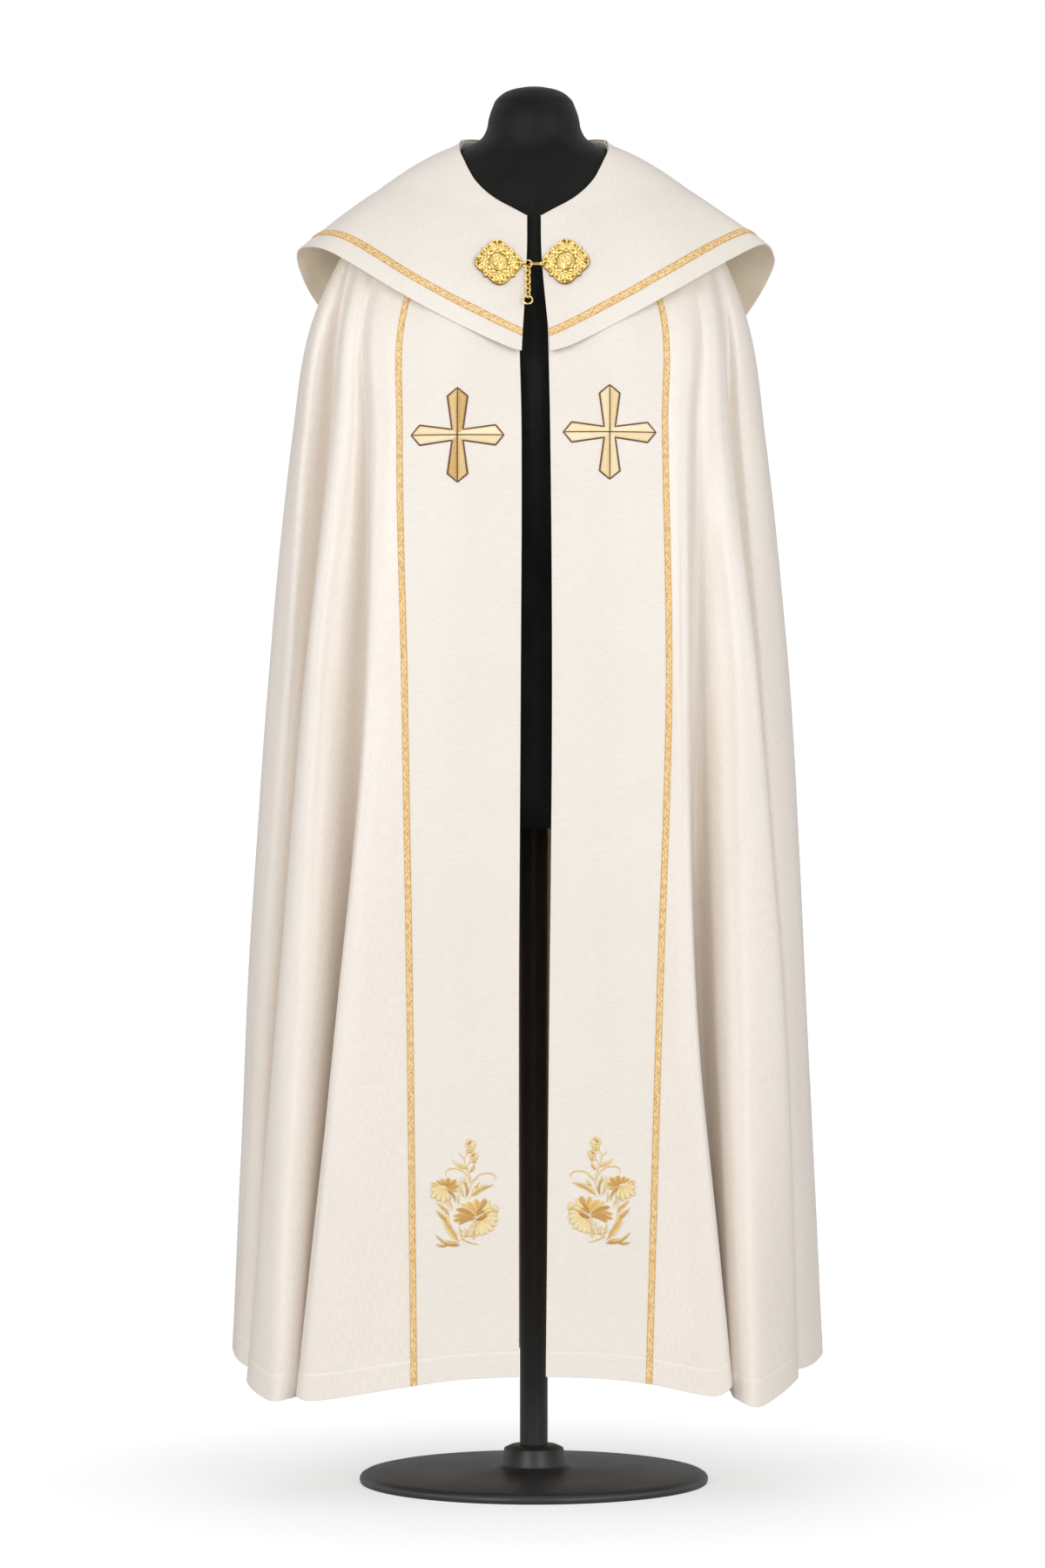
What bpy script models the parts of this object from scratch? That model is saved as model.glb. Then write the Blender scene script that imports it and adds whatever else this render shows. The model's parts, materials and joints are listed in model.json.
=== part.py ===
"""Cope vestment on a limbless dress form: a long open cloak with a shoulder cape, a clasp and a stand.

Metres, +Z up. The front of the cope faces -Y and the wearer's right hand is at -X.
The origin is the middle of the underside of the stand's base.
"""

import math

import bpy
import numpy as np
from mathutils import Vector
from mathutils.bvhtree import BVHTree

MM = 0.001
SHARP = math.radians(40)  # edges that turn more than this show as edges

# ---- driving sizes -----------------------------------------------------------------------------
WALL = 1.6 * MM  # interlined silk, in the body and in the cape
SEAM = 0.3 * MM  # between panels that are sewn together, and under what is sewn on
CLEAR_OF_FORM = 0.85 * MM  # from the form to the inside of the cloth on the shoulders
BODY_LIFT = CLEAR_OF_FORM + WALL / 2  # from the form to the middle of the body's wall
NECK_EASE = 0.7 * MM  # how much further the body stands from the form at its neckline
CAPE_GAP = 0.7 * MM  # from the body's face to the inside of the cape at the neck
CAPE_LIFT = BODY_LIFT + NECK_EASE + WALL + CAPE_GAP  # from the form to the middle of the cape's wall
YOKE_Z = 1.450  # below this the cloth leaves the shoulders and hangs free
YOKE_LEAST = 18 * MM  # how far the yoke reaches below the neckline where the neckline dips in front
GALLOON_WIDTH = 9.5 * MM
GALLOON_THICK = 1.0 * MM
BRAID_SEAT = 0.45 * MM  # under the braid on a seam, where the two panels turn
GALLOON_INSET = 21 * MM  # from the cape's edge to its braid
CROSS_SPAN = 109 * MM
CROSS_WAIST = 6.0 * MM  # half width of an arm where it leaves the middle
CROSS_SHOULDER = 11.5 * MM  # and where it is widest
CROSS_TIP = 10.5 * MM  # length of the pointed end
CROSS_STATIONS = 5
CROSS_SEAT = 0.65 * MM
CROSS_EDGE = 0.8 * MM  # thickness along the outline
CROSS_RISE = 2.2 * MM  # and along the ridge
CROSS_CENTRES = {"left": (-87 * MM, 1.194), "right": (86 * MM, 1.197)}  # across and up
PLATE_RADIUS = 25.2 * MM
PLATE_TALL = 1.06  # height of a plate, as a share of its width
PLATE_THICK = 2.4 * MM  # without its relief
PLATE_SIDES = 28
PLATE_RINGS = (0.12, 0.27, 0.36, 0.48, 0.62, 0.76, 0.90, 1.0)  # shares of the plate's radius

# ---- dress form: a section for each height, half width, depth to the front and to the back ------
FORM_SECTIONS = (
    # height, half width, front, back
    (1.5990, 0.0140, 0.014, 0.014),
    (1.5960, 0.0270, 0.027, 0.028),
    (1.5870, 0.0415, 0.040, 0.042),
    (1.5760, 0.0475, 0.046, 0.048),
    (1.5640, 0.0515, 0.049, 0.052),
    (1.5500, 0.0545, 0.050, 0.053),
    (1.5390, 0.0620, 0.050, 0.054),
    (1.5290, 0.0800, 0.051, 0.057),
    (1.5190, 0.1050, 0.053, 0.060),
    (1.5070, 0.1280, 0.057, 0.065),
    (1.4930, 0.1500, 0.063, 0.071),
    (1.4800, 0.1680, 0.068, 0.077),
    (1.4670, 0.1840, 0.074, 0.083),
    (1.4550, 0.1945, 0.079, 0.088),
    (1.4420, 0.2000, 0.085, 0.093),
    (1.4200, 0.2015, 0.091, 0.098),
    (1.3850, 0.2000, 0.098, 0.102),
    (1.3300, 0.1960, 0.106, 0.104),
    (1.2500, 0.1810, 0.112, 0.103),
    (1.1500, 0.1640, 0.108, 0.098),
    (1.0500, 0.1480, 0.099, 0.092),
    (0.9500, 0.1560, 0.101, 0.103),
    (0.8500, 0.1740, 0.108, 0.118),
    (0.7700, 0.1790, 0.110, 0.120),
    (0.7500, 0.1730, 0.105, 0.114),
)
FORM_SIDES = 32
PROBE_TURN = 0.2  # degrees, and below it a height: the steps that find the form's normal
PROBE_RISE = 0.4 * MM
POLE_RADIUS = 16 * MM
POLE_SIDES = 24
BASE_RADIUS = 200 * MM
BASE_THICK = 16 * MM
FLANGE_RADIUS = 34 * MM
FLANGE_TOP = 42 * MM
BASE_PROFILE = (
    # across, height
    (0, FLANGE_TOP),
    (FLANGE_RADIUS * 0.8, FLANGE_TOP),
    (FLANGE_RADIUS, FLANGE_TOP - 4 * MM),
    (FLANGE_RADIUS + 5 * MM, BASE_THICK + 3 * MM),
    (FLANGE_RADIUS + 14 * MM, BASE_THICK),
    (BASE_RADIUS - BASE_THICK * 0.7, BASE_THICK * 0.72),
    (BASE_RADIUS - BASE_THICK * 0.175, BASE_THICK * 0.55),
    (BASE_RADIUS, BASE_THICK * 0.35),
    (BASE_RADIUS - 1 * MM, 0),
    (0, 0),
)
BASE_SIDES = 36

# ---- neckline: its height where the turn about the neck is, in degrees from the front ------------
NECKLINE = (
    # turn, height
    (0.0, 1.440),
    (17.0, 1.472),
    (27.0, 1.488),
    (56.0, 1.518),
    (90.0, 1.531),
    (135.0, 1.534),
    (180.0, 1.535),
)

# ---- levels at which the folds are set out: yoke, chest, waist, thigh, knee and hem -----------------
LEVEL_DROP = (0.0, 0.12, 0.25, 0.55, 0.90, 1.33)  # below the yoke
LEVEL_Z = (YOKE_Z, 1.330, 1.200, 0.900, 0.550, 0.120)

# Folds of the two fronts, from the opening edge to the side: millimetres in plan at each level.
# turn is where the fold starts on the yoke, hem is the height of the hem there.
FRONT_FOLDS_AT_MINUS_X = (
    # name, turn, chest, waist, thigh, knee, hem in plan, hem height
    ("opening_edge", 2.2, (-16, -127), (-14, -136), (-15, -147), (-17, -158), (-17, -172), 139),
    ("orphrey_middle", 17, (-85, -128), (-86, -139), (-84, -153), (-80, -166), (-77, -181), 137),
    ("orphrey_seam", 31, (-147, -108), (-151, -123), (-145, -143), (-139, -158), (-134, -174), 129),
    ("first_belly", 37, (-168, -100), (-172, -114), (-172, -140), (-187, -156), (-220, -165), 112),
    ("first_edge", 42, (-180, -93), (-185, -103), (-188, -124), (-218, -133), (-265, -136), 114),
    ("first_return", 47, (-187, -85), (-189, -92), (-188, -103), (-212, -105), (-256, -108), 121),
    ("first_valley", 52, (-193, -79), (-193, -85), (-186, -85), (-197, -78), (-228, -76), 116),
    ("second_front", 57, (-203, -74), (-209, -81), (-219, -87), (-242, -87), (-278, -89), 110),
    ("second_belly", 62, (-211, -67), (-221, -75), (-243, -82), (-273, -80), (-308, -81), 107),
    ("second_edge", 67, (-216, -58), (-230, -62), (-260, -63), (-294, -58), (-327, -57), 123),
    ("second_return", 72, (-215, -47), (-226, -46), (-254, -41), (-286, -35), (-316, -32), 126),
    ("second_valley", 77, (-217, -37), (-224, -33), (-242, -22), (-268, -15), (-293, -12), 128),
    ("third_front", 82, (-231, -26), (-247, -20), (-271, -8), (-299, 0), (-325, 4), 131),
    ("third_belly", 88, (-246, -8), (-266, -3), (-294, 10), (-320, 18), (-341, 24), 141),
    ("third_edge", 94, (-255, 14), (-277, 19), (-307, 34), (-330, 44), (-348, 52), 148),
    ("third_return", 102, (-251, 34), (-271, 42), (-298, 58), (-318, 72), (-334, 82), 147),
)
FRONT_FOLDS_AT_PLUS_X = (
    # name, turn, chest, waist, thigh, knee, hem in plan, hem height
    ("opening_edge", 3.4, (15, -127), (18, -136), (20, -147), (17, -158), (13, -172), 139),
    ("orphrey_middle", 17, (84, -128), (86, -139), (88, -153), (80, -166), (73, -181), 138),
    ("orphrey_seam", 31, (145, -108), (147, -123), (151, -143), (140, -158), (128, -173), 131),
    ("first_belly", 37, (165, -100), (168, -113), (171, -134), (166, -151), (184, -168), 117),
    ("first_edge", 42, (179, -93), (181, -102), (181, -118), (186, -137), (223, -148), 126),
    ("first_return", 47, (186, -85), (186, -92), (183, -101), (178, -113), (212, -121), 128),
    ("first_valley", 52, (192, -79), (191, -85), (188, -85), (178, -87), (197, -93), 122),
    ("second_front", 57, (198, -73), (202, -81), (210, -84), (208, -88), (236, -97), 109),
    ("second_belly", 62, (204, -66), (211, -74), (233, -80), (251, -86), (273, -92), 101),
    ("second_edge", 67, (206, -57), (216, -61), (251, -62), (283, -63), (301, -63), 125),
    ("second_return", 72, (205, -47), (213, -46), (246, -41), (276, -38), (291, -36), 128),
    ("second_valley", 77, (212, -37), (213, -32), (236, -22), (259, -17), (273, -13), 128),
    ("third_front", 82, (223, -25), (238, -20), (263, -8), (286, 0), (305, 4), 130),
    ("third_belly", 88, (237, -8), (257, -3), (285, 10), (306, 20), (324, 26), 135),
    ("third_edge", 94, (246, 14), (266, 19), (297, 34), (314, 44), (332, 52), 145),
    ("third_return", 102, (243, 34), (261, 42), (288, 58), (304, 72), (319, 82), 147),
)

# The back hangs from an oval that widens downwards; its folds stand out of it or into it.
BACK_OVAL = (
    # level, half width, depth, share of the fold that shows
    ("yoke", 201, 91, 0.00),
    ("chest", 250, 127, 0.12),
    ("waist", 268, 150, 0.26),
    ("thigh", 296, 190, 0.52),
    ("knee", 318, 231, 0.79),
    ("hem", 336, 262, 1.00),
)
BACK_FOLDS = (
    # turn in degrees, going on round the back, and millimetres out of the oval at the hem
    (112, -36),
    (124, 6),
    (136, -44),
    (148, 9),
    (159, -38),
    (170, 6),
    (181, -42),
    (192, 9),
    (203, -35),
    (214, 5),
    (225, -46),
    (237, 7),
    (248, -34),
)
BACK_HEM = 128

# ---- shoulder cape: lines from the neck over the shoulder to the edge, in millimetres --------------
CAPE_LINES = (
    # turn, height where it leaves the shoulder, end at -X, end at +X, bow of the free part
    (2.2, 1425, (-14, -154, 1291), (18, -154, 1289), 2),
    (7.0, 1431, (-30, -154, 1290), (44, -151, 1293), 3),
    (19.0, 1452, (-90, -141, 1319), (104, -137, 1324), 4),
    (34.0, 1465, (-152, -117, 1354), (164, -113, 1359), 5),
    (55.0, 1474, (-227, -66, 1402), (224, -66, 1396), 3),
    (72.0, 1477, (-257, -30, 1413), (262, -30, 1416), 2),
    (88.0, 1477, (-271, 2, 1409), (275, 2, 1407), 2),
    (102.0, 1474, (-268, 34, 1388), (274, 34, 1390), 3),
    (118.0, 1468, (-251, 70, 1357), (250, 72, 1349), 5),
    (138.0, 1455, (-198, 117, 1290), (198, 117, 1286), 6),
    (160.0, 1445, (-108, 156, 1222), (108, 156, 1220), 4),
    (180.0, 1440, (0, 168, 1188), (0, 168, 1188), 3),
)
CAPE_RISE = 2 * MM  # how much further the cape stands from the form where it leaves the shoulder

# ---- clasp and its chain, in the plane that lies along the cape's front ---------------------------
RING_CENTRE = (-6.9 * MM, 1.384)  # across and up; its depth is worked out from the cape
PLATE_CENTRES = {"left": (-40.6 * MM, 1.386), "right": (36.2 * MM, 1.387)}
PLATE_SEAT = {"left": 0.75 * MM, "right": 1.2 * MM}  # from the cape's face to the plate's back
CAPE_PROBE = (-15 * MM, 40 * MM)  # where the cape's slope is read: across, and how far down
CLASP_LIFT = 3.5 * MM  # from the cape's face to the plane of the ring
RING_BEND = 4.5 * MM  # centre line of the ring's wire
RING_WIRE = 0.8 * MM
LINK_WIRE = 0.58 * MM
LINK_HALF_WIDTH = 1.65 * MM
LINK_PITCH = 5.2 * MM
LINK_GAP = 0.36 * MM
OVAL_GAP = 0.6 * MM
EYE_BENDS = {"left": 2.3 * MM, "right": 1.55 * MM}
EYE_RIGHT_AT = 8.7 * MM
OVAL_END = 8.6 * MM
OVAL_HALF_WIDTH = 2.6 * MM
TAIL_LINKS = 7
WIRE_STEPS = 14  # round the rings and the oval
LINK_STEPS = 10  # round the small links

# ---- rows and columns of the meshes --------------------------------------------------------------
ORPHREY_STEPS = 3  # columns for each fold of an orphrey, a side panel, the back and the cape
FRONT_STEPS = 2
BACK_STEPS = 3
CAPE_STEPS = 2
YOKE_ROWS = 0.5 - 0.5 * np.cos(np.linspace(0, math.pi, 8))  # closer at the neckline and at the yoke
DROPS = np.array([0.03, 0.07, 0.12, 0.18, 0.26, 0.36, 0.49, 0.64, 0.81, 0.99, 1.17, 1.33])
CAPE_YOKE_ROWS = np.linspace(0, 1, 6) ** 1.2
CAPE_FREE_ROWS = np.array([0.33, 0.67, 1.0])
BRAID_TOP_ROW = 9  # the seam braid starts under the cape


# ---- helpers ----------------------------------------------------------------------------------
def clear_scene():
    for old in list(bpy.data.objects):
        bpy.data.objects.remove(old)


def make_collection(name):
    collection = bpy.data.collections.new(name)
    bpy.context.scene.collection.children.link(collection)
    return collection


def make_material(name, colour, roughness, metallic=0.0):
    material = bpy.data.materials.new(name)
    material.use_nodes = True
    shader = material.node_tree.nodes["Principled BSDF"]
    shader.inputs["Base Color"].default_value = (*colour, 1.0)
    shader.inputs["Roughness"].default_value = roughness
    shader.inputs["Metallic"].default_value = metallic
    return material


def add_mesh(name, points, faces, material):
    mesh = bpy.data.meshes.new(name)
    mesh.from_pydata([tuple(point) for point in points], [], faces)
    mesh.validate()
    mesh.materials.append(material)
    mesh.shade_smooth()
    mesh.set_sharp_from_angle(angle=SHARP)
    obj = bpy.data.objects.new(name, mesh)
    PART.objects.link(obj)
    return obj


def slopes(stations, values):
    """Slopes for a smooth curve through the values: the mean of the two chords, one at each end."""
    chords = np.diff(values, axis=0) / np.diff(stations)[:, None]
    inner = 0.5 * (chords[1:] + chords[:-1])
    return np.concatenate([chords[:1], inner, chords[-1:]])


def smooth(stations, values, at):
    """Cubic curve through a row of values for each station, read at the places asked for."""
    stations = np.asarray(stations, float)
    values = np.asarray(values, float)
    at = np.atleast_1d(at)
    slope = slopes(stations, values)
    index = np.clip(np.searchsorted(stations, at, side="right") - 1, 0, len(stations) - 2)
    span = (stations[index + 1] - stations[index])[:, None]
    step = (at - stations[index])[:, None] / span
    start = values[index] * (1 + 2 * step) * (1 - step) ** 2 + slope[index] * span * step * (1 - step) ** 2
    end = values[index + 1] * step**2 * (3 - 2 * step) + slope[index + 1] * span * step**2 * (step - 1)
    return start + end


def unit(vectors):
    return vectors / np.linalg.norm(vectors, axis=-1, keepdims=True)


def grid_normals(grid):
    """Outward normals of a grid whose rows run down and whose columns run from -X front round the back."""
    down = np.gradient(grid, axis=0)
    along = np.gradient(grid, axis=1)
    return unit(np.cross(along, down))


def wall(name, outer, inner, material):
    """Closed wall between two grids of points, rows by columns."""
    rows, columns = outer.shape[:2]
    half = rows * columns
    points = np.concatenate([outer.reshape(-1, 3), inner.reshape(-1, 3)])
    at = np.arange(half).reshape(rows, columns)
    faces = []
    for row in range(rows - 1):
        for column in range(columns - 1):
            corners = (at[row, column], at[row, column + 1], at[row + 1, column + 1], at[row + 1, column])
            faces.append(corners)
            faces.append(tuple(corners[corner] + half for corner in (0, 3, 2, 1)))
    rim = [*at[0], *at[1:, -1], *at[-1, -2::-1], *at[-2:0:-1, 0]]
    for here, after in zip(rim, rim[1:] + rim[:1]):
        faces.append((after, here, here + half, after + half))
    faces = [[int(corner) for corner in face] for face in faces]
    return add_mesh(name, points, faces, material)


# ---- dress form -------------------------------------------------------------------------------
def form_radii(height):
    table = np.array(FORM_SECTIONS)[::-1]
    return smooth(table[:, 0], table[:, 1:], height)


def form_points(turn, height):
    """Points of the form's surface: turn in degrees from the front, rising towards -X."""
    turn = np.radians(np.asarray(turn, float))
    radii = form_radii(height)
    across = -radii[:, 0] * np.sin(turn)
    depth = np.where(np.cos(turn) > 0, radii[:, 1], radii[:, 2])
    return np.stack([across, -depth * np.cos(turn), np.asarray(height, float)], axis=-1)


def form_offset(turn, height, lift):
    """Points moved out from the form's surface along its normal."""
    along = form_points(turn + PROBE_TURN, height) - form_points(turn - PROBE_TURN, height)
    down = form_points(turn, height - PROBE_RISE) - form_points(turn, height + PROBE_RISE)
    return form_points(turn, height) + unit(np.cross(along, down)) * lift


def make_form(material):
    turns = np.linspace(0, 360, FORM_SIDES, endpoint=False)
    heights = [row[0] for row in FORM_SECTIONS]
    rings = [form_points(turns, np.full(FORM_SIDES, height)) for height in heights]
    points = np.concatenate(rings)
    faces = []
    for ring in range(len(rings) - 1):
        for side in range(FORM_SIDES):
            after = (side + 1) % FORM_SIDES
            top, low = ring * FORM_SIDES, (ring + 1) * FORM_SIDES
            faces.append((top + side, top + after, low + after, low + side))
    faces.append(tuple(reversed(range(FORM_SIDES))))
    faces.append(tuple(range(len(points) - FORM_SIDES, len(points))))
    return add_mesh("form_torso", points, faces, material)


def make_pole(material):
    top = FORM_SECTIONS[-1][0] - SEAM
    bottom = FLANGE_TOP + SEAM
    bpy.ops.mesh.primitive_cylinder_add(
        vertices=POLE_SIDES, radius=POLE_RADIUS, depth=top - bottom, location=(0, 0, (top + bottom) / 2)
    )
    return adopt(bpy.context.object, "form_pole", material)


def make_base(material):
    """Turned disc with a rounded rim and a raised socket that carries the pole."""
    mesh = bpy.data.meshes.new("form_base")
    edges = [(index, index + 1) for index in range(len(BASE_PROFILE) - 1)]
    mesh.from_pydata([(across, 0, height) for across, height in BASE_PROFILE], edges, [])
    obj = bpy.data.objects.new("form_base", mesh)
    PART.objects.link(obj)
    obj.data.materials.append(material)
    turned = obj.modifiers.new("turned", "SCREW")
    turned.steps = BASE_SIDES
    turned.render_steps = BASE_SIDES
    turned.use_merge_vertices = True
    turned.merge_threshold = 0.1 * MM
    turned.use_smooth_shade = True
    return obj


def adopt(obj, name, material):
    for collection in list(obj.users_collection):
        collection.objects.unlink(obj)
    PART.objects.link(obj)
    obj.name = name
    obj.data.name = name
    obj.data.materials.append(material)
    obj.data.shade_smooth()
    obj.data.set_sharp_from_angle(angle=SHARP)
    return obj


# ---- body of the cope -------------------------------------------------------------------------
def neck_height(turn):
    around = np.abs((np.asarray(turn, float) + 180) % 360 - 180)
    table = np.array(NECKLINE)
    return smooth(table[:, 0], table[:, 1:], around)[:, 0]


def yoke_height(turn):
    return np.minimum(YOKE_Z, neck_height(turn) - YOKE_LEAST)


def front_fold(row, side):
    """Turn, and the points of one fold at the levels below the yoke."""
    plan = np.array(row[2:7], float) * MM
    heights = np.array([*LEVEL_Z[1:5], row[7] * MM])
    turn = row[1] if side < 0 else 360 - row[1]
    return turn, np.column_stack([plan, heights])


def back_fold(turn, out):
    """The same for a fold of the back, which moves out along the oval's normal."""
    angle = math.radians(turn)
    points = []
    for level, (_, half_width, depth, share) in enumerate(BACK_OVAL[1:], start=1):
        outward = unit(np.array([-math.sin(angle) / half_width, -math.cos(angle) / depth]))
        place = np.array([-half_width * math.sin(angle), -depth * math.cos(angle)])
        height = BACK_HEM * MM if level == 5 else LEVEL_Z[level]
        points.append([*((place + outward * out * share) * MM), height])
    return turn, np.array(points)


def body_folds():
    """Every fold of the body in order, from the opening edge at -X round the back to the one at +X."""
    folds = [front_fold(row, -1) for row in FRONT_FOLDS_AT_MINUS_X]
    folds += [back_fold(*row) for row in BACK_FOLDS]
    folds += [front_fold(row, 1) for row in reversed(FRONT_FOLDS_AT_PLUS_X)]
    return folds


def body_grid(places, yoke_rows, drops):
    """Middle of the body's wall: a column for each place along the row of folds, rows going down."""
    folds = body_folds()
    order = np.arange(len(folds))
    turns = smooth(order, np.array([[turn] for turn, _ in folds]), places)[:, 0]
    rows = []
    for share in yoke_rows:
        height = neck_height(turns) + (yoke_height(turns) - neck_height(turns)) * share
        rows.append(form_offset(turns, height, BODY_LIFT + NECK_EASE * (1 - share) ** 2))
    hung = [rows[-1]]
    for level in range(5):
        knots = np.array([points[level] for _, points in folds])
        hung.append(smooth(order, knots, places))
    hung = np.array(hung)
    flat = hung.reshape(len(hung), -1)
    rows += list(smooth(LEVEL_DROP, flat, drops).reshape(len(drops), -1, 3))
    return np.array(rows)


def places_between(first, last, steps_each):
    return np.linspace(first, last, (last - first) * steps_each + 1)


def panel(name, grid, normals, first, last, material):
    """One panel of the body: the columns from first to last, drawn in by half a seam at each side."""
    middle = grid[:, first : last + 1].copy()
    facing = normals[:, first : last + 1]
    middle[:, 0] += unit(middle[:, 1] - middle[:, 0]) * SEAM / 2
    middle[:, -1] += unit(middle[:, -2] - middle[:, -1]) * SEAM / 2
    return wall(name, middle + facing * WALL / 2, middle - facing * WALL / 2, material)


def braid_on_seam(name, grid, normals, column, rows, material):
    """Braid that covers a seam: from the panel's own points, moved out."""
    face = grid + normals * WALL / 2
    points, facing = [], []
    for step in (-1, 0, 1):
        width = np.linalg.norm(face[rows, column + step] - face[rows, column], axis=1)[:, None]
        share = 0 if step == 0 else GALLOON_WIDTH / 2 / width
        points.append(face[rows, column] * (1 - share) + face[rows, column + step] * share)
        facing.append(unit(normals[rows, column] * (1 - share) + normals[rows, column + step] * share))
    points, facing = np.stack(points, axis=1), np.stack(facing, axis=1)
    return wall(name, points + facing * (BRAID_SEAT + GALLOON_THICK), points + facing * BRAID_SEAT, material)


# ---- shoulder cape ------------------------------------------------------------------------------
def cape_lines(places):
    """Turn, leaving height, edge end and bow of the cape's lines, from the -X front round the back."""
    half = [(turn, leave, end, bow) for turn, leave, end, _, bow in CAPE_LINES]
    other = [(360 - turn, leave, end, bow) for turn, leave, _, end, bow in CAPE_LINES[:-1]]
    rows = [[turn, leave * MM, *(np.array(end) * MM), bow * MM] for turn, leave, end, bow in half + other[::-1]]
    read = smooth(np.arange(len(rows)), rows, places)
    return read[:, 0], read[:, 1], read[:, 2:5], read[:, 5]


def cape_grid(places, yoke_shares, free_shares):
    """Middle of the cape's wall: rows over the shoulders, then free rows down to the braid and the edge."""
    turns, leave, edge, bow = cape_lines(places)
    neck = neck_height(turns)
    rows = []
    for share in yoke_shares:
        rows.append(form_offset(turns, neck + (leave - neck) * share, CAPE_LIFT + CAPE_RISE * math.sqrt(share)))
    top = rows[-1]
    reach = edge - top
    length = np.linalg.norm(reach, axis=1)[:, None]
    leaving = unit(rows[-1] - rows[-2]) * length
    outward = unit(np.cross(np.gradient(top + edge, axis=0), reach))
    braid_top = 1 - (GALLOON_INSET + GALLOON_WIDTH) / length
    braid_foot = 1 - GALLOON_INSET / length
    for way in [share * braid_top for share in free_shares] + [braid_foot, np.ones_like(length)]:
        line = top + reach * way**2 * (3 - 2 * way)
        line += leaving * way * (1 - way) ** 2 - reach * way**2 * (1 - way)
        rows.append(line + outward * (4 * way * (1 - way)) * bow[:, None])
    return np.array(rows)


def face_tree(obj):
    mesh = obj.data
    return BVHTree.FromPolygons([v.co for v in mesh.vertices], [tuple(p.vertices) for p in mesh.polygons])


def face_hit(tree, across, up):
    """Point and normal of a face, met from the front."""
    hit, normal, _, _ = tree.ray_cast(Vector((across, -1.0, up)), Vector((0, 1, 0)))
    return np.array(hit), np.array(normal)


# ---- crosses ------------------------------------------------------------------------------------
def cross_outline():
    """A plan of the cross on a plane: points (across, up, ridge share) and its faces."""
    reach = CROSS_SPAN / 2
    stations = np.linspace(CROSS_WAIST, reach - CROSS_TIP, CROSS_STATIONS)[1:]
    flare = (CROSS_SHOULDER - CROSS_WAIST) / (stations[-1] - CROSS_WAIST)
    points = [(0.0, 0.0, 1.0)]
    corners = [(sx * CROSS_WAIST, sy * CROSS_WAIST, 0.0) for sx, sy in ((1, 1), (-1, 1), (-1, -1), (1, -1))]
    points += corners
    faces = []
    for arm in range(4):
        angle = math.pi / 2 * arm
        ahead = np.array([math.cos(angle), math.sin(angle)])
        aside = np.array([-ahead[1], ahead[0]])
        previous = (1 + arm, 0, 1 + (arm + 3) % 4)
        for station in stations:
            half = CROSS_WAIST + flare * (station - CROSS_WAIST)
            start = len(points)
            for part, ridge in ((1, 0.0), (0, 1.0), (-1, 0.0)):
                points.append((*(ahead * station + aside * half * part), ridge))
            here = (start, start + 1, start + 2)
            faces.append((previous[0], previous[1], here[1], here[0]))
            faces.append((previous[1], previous[2], here[2], here[1]))
            previous = here
        tip = len(points)
        points.append((*(ahead * reach), 0.0))
        faces.append((previous[0], previous[1], tip))
        faces.append((previous[1], previous[2], tip))
    return points, faces


def make_cross(name, centre, tree, material):
    """Padded cross that follows the panel under it: flat-backed arms with a ridge along each."""
    plan, faces = cross_outline()
    top, foot = [], []
    for across, up, ridge in plan:
        hit, _ = face_hit(tree, centre[0] + across, centre[1] + up)
        thick = CROSS_EDGE + ridge * (CROSS_RISE - CROSS_EDGE)
        foot.append(hit - (0, CROSS_SEAT, 0))
        top.append(hit - (0, CROSS_SEAT + thick, 0))
    count = len(plan)
    closed = list(faces)
    closed += [tuple(corner + count for corner in reversed(face)) for face in faces]
    sides = [pair for face in faces for pair in zip(face, face[1:] + face[:1])]
    for here, after in sides:
        if (after, here) not in sides:
            closed.append((after, here, here + count, after + count))
    return add_mesh(name, top + foot, closed, material)


# ---- clasp --------------------------------------------------------------------------------------
def plate_rim(angle):
    """Quatrefoil: four round lobes with a small tip between each two."""
    lobe = abs(math.cos(2 * angle)) ** 0.8
    tip = 0.10 * max(0.0, math.cos(4 * (angle - math.pi / 4))) ** 6
    return PLATE_RADIUS * (0.80 + 0.20 * lobe + tip)


def plate_height(share, angle):
    """Relief of the plate: domed boss in rings, a ring of petals, four lobes with a bead, a rim."""
    boss = 3.4 * MM * max(0.0, 1 - (share / 0.30) ** 2)
    petals = 1.5 * MM * math.exp(-(((share - 0.47) / 0.11) ** 2)) * (0.75 + 0.25 * math.cos(12 * angle))
    beads = 1.6 * MM * math.exp(-(((share - 0.76) / 0.10) ** 2)) * max(0.0, math.cos(4 * angle)) ** 2
    rim = 0.7 * MM * math.exp(-(((share - 0.97) / 0.04) ** 2))
    return PLATE_THICK + boss + petals + beads + rim


def plate_mesh(name, centre, facing, material):
    """Solid plate with its relief, in a frame whose outward axis is facing."""
    outward = unit(facing)
    across = unit(np.cross(outward, np.array([0.0, 0.0, -1.0])))
    up = np.cross(outward, across) * PLATE_TALL
    angles = 2 * math.pi * np.arange(PLATE_SIDES) / PLATE_SIDES
    flat = [(across * math.cos(angle) + up * math.sin(angle)) * plate_rim(angle) for angle in angles]
    points = [centre + outward * plate_height(0, 0)]
    for share in PLATE_RINGS:
        for place, angle in zip(flat, angles):
            points.append(centre + place * share + outward * plate_height(share, angle))
    points += [centre + place for place in flat]
    faces = [(0, 1 + side, 1 + (side + 1) % PLATE_SIDES) for side in range(PLATE_SIDES)]
    for ring in range(len(PLATE_RINGS)):
        for side in range(PLATE_SIDES):
            after = (side + 1) % PLATE_SIDES
            inner, outer = 1 + ring * PLATE_SIDES, 1 + (ring + 1) * PLATE_SIDES
            faces.append((inner + side, outer + side, outer + after, inner + after))
    faces.append(tuple(1 + len(PLATE_RINGS) * PLATE_SIDES + side for side in reversed(range(PLATE_SIDES))))
    return add_mesh(name, points, faces, material)


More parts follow.
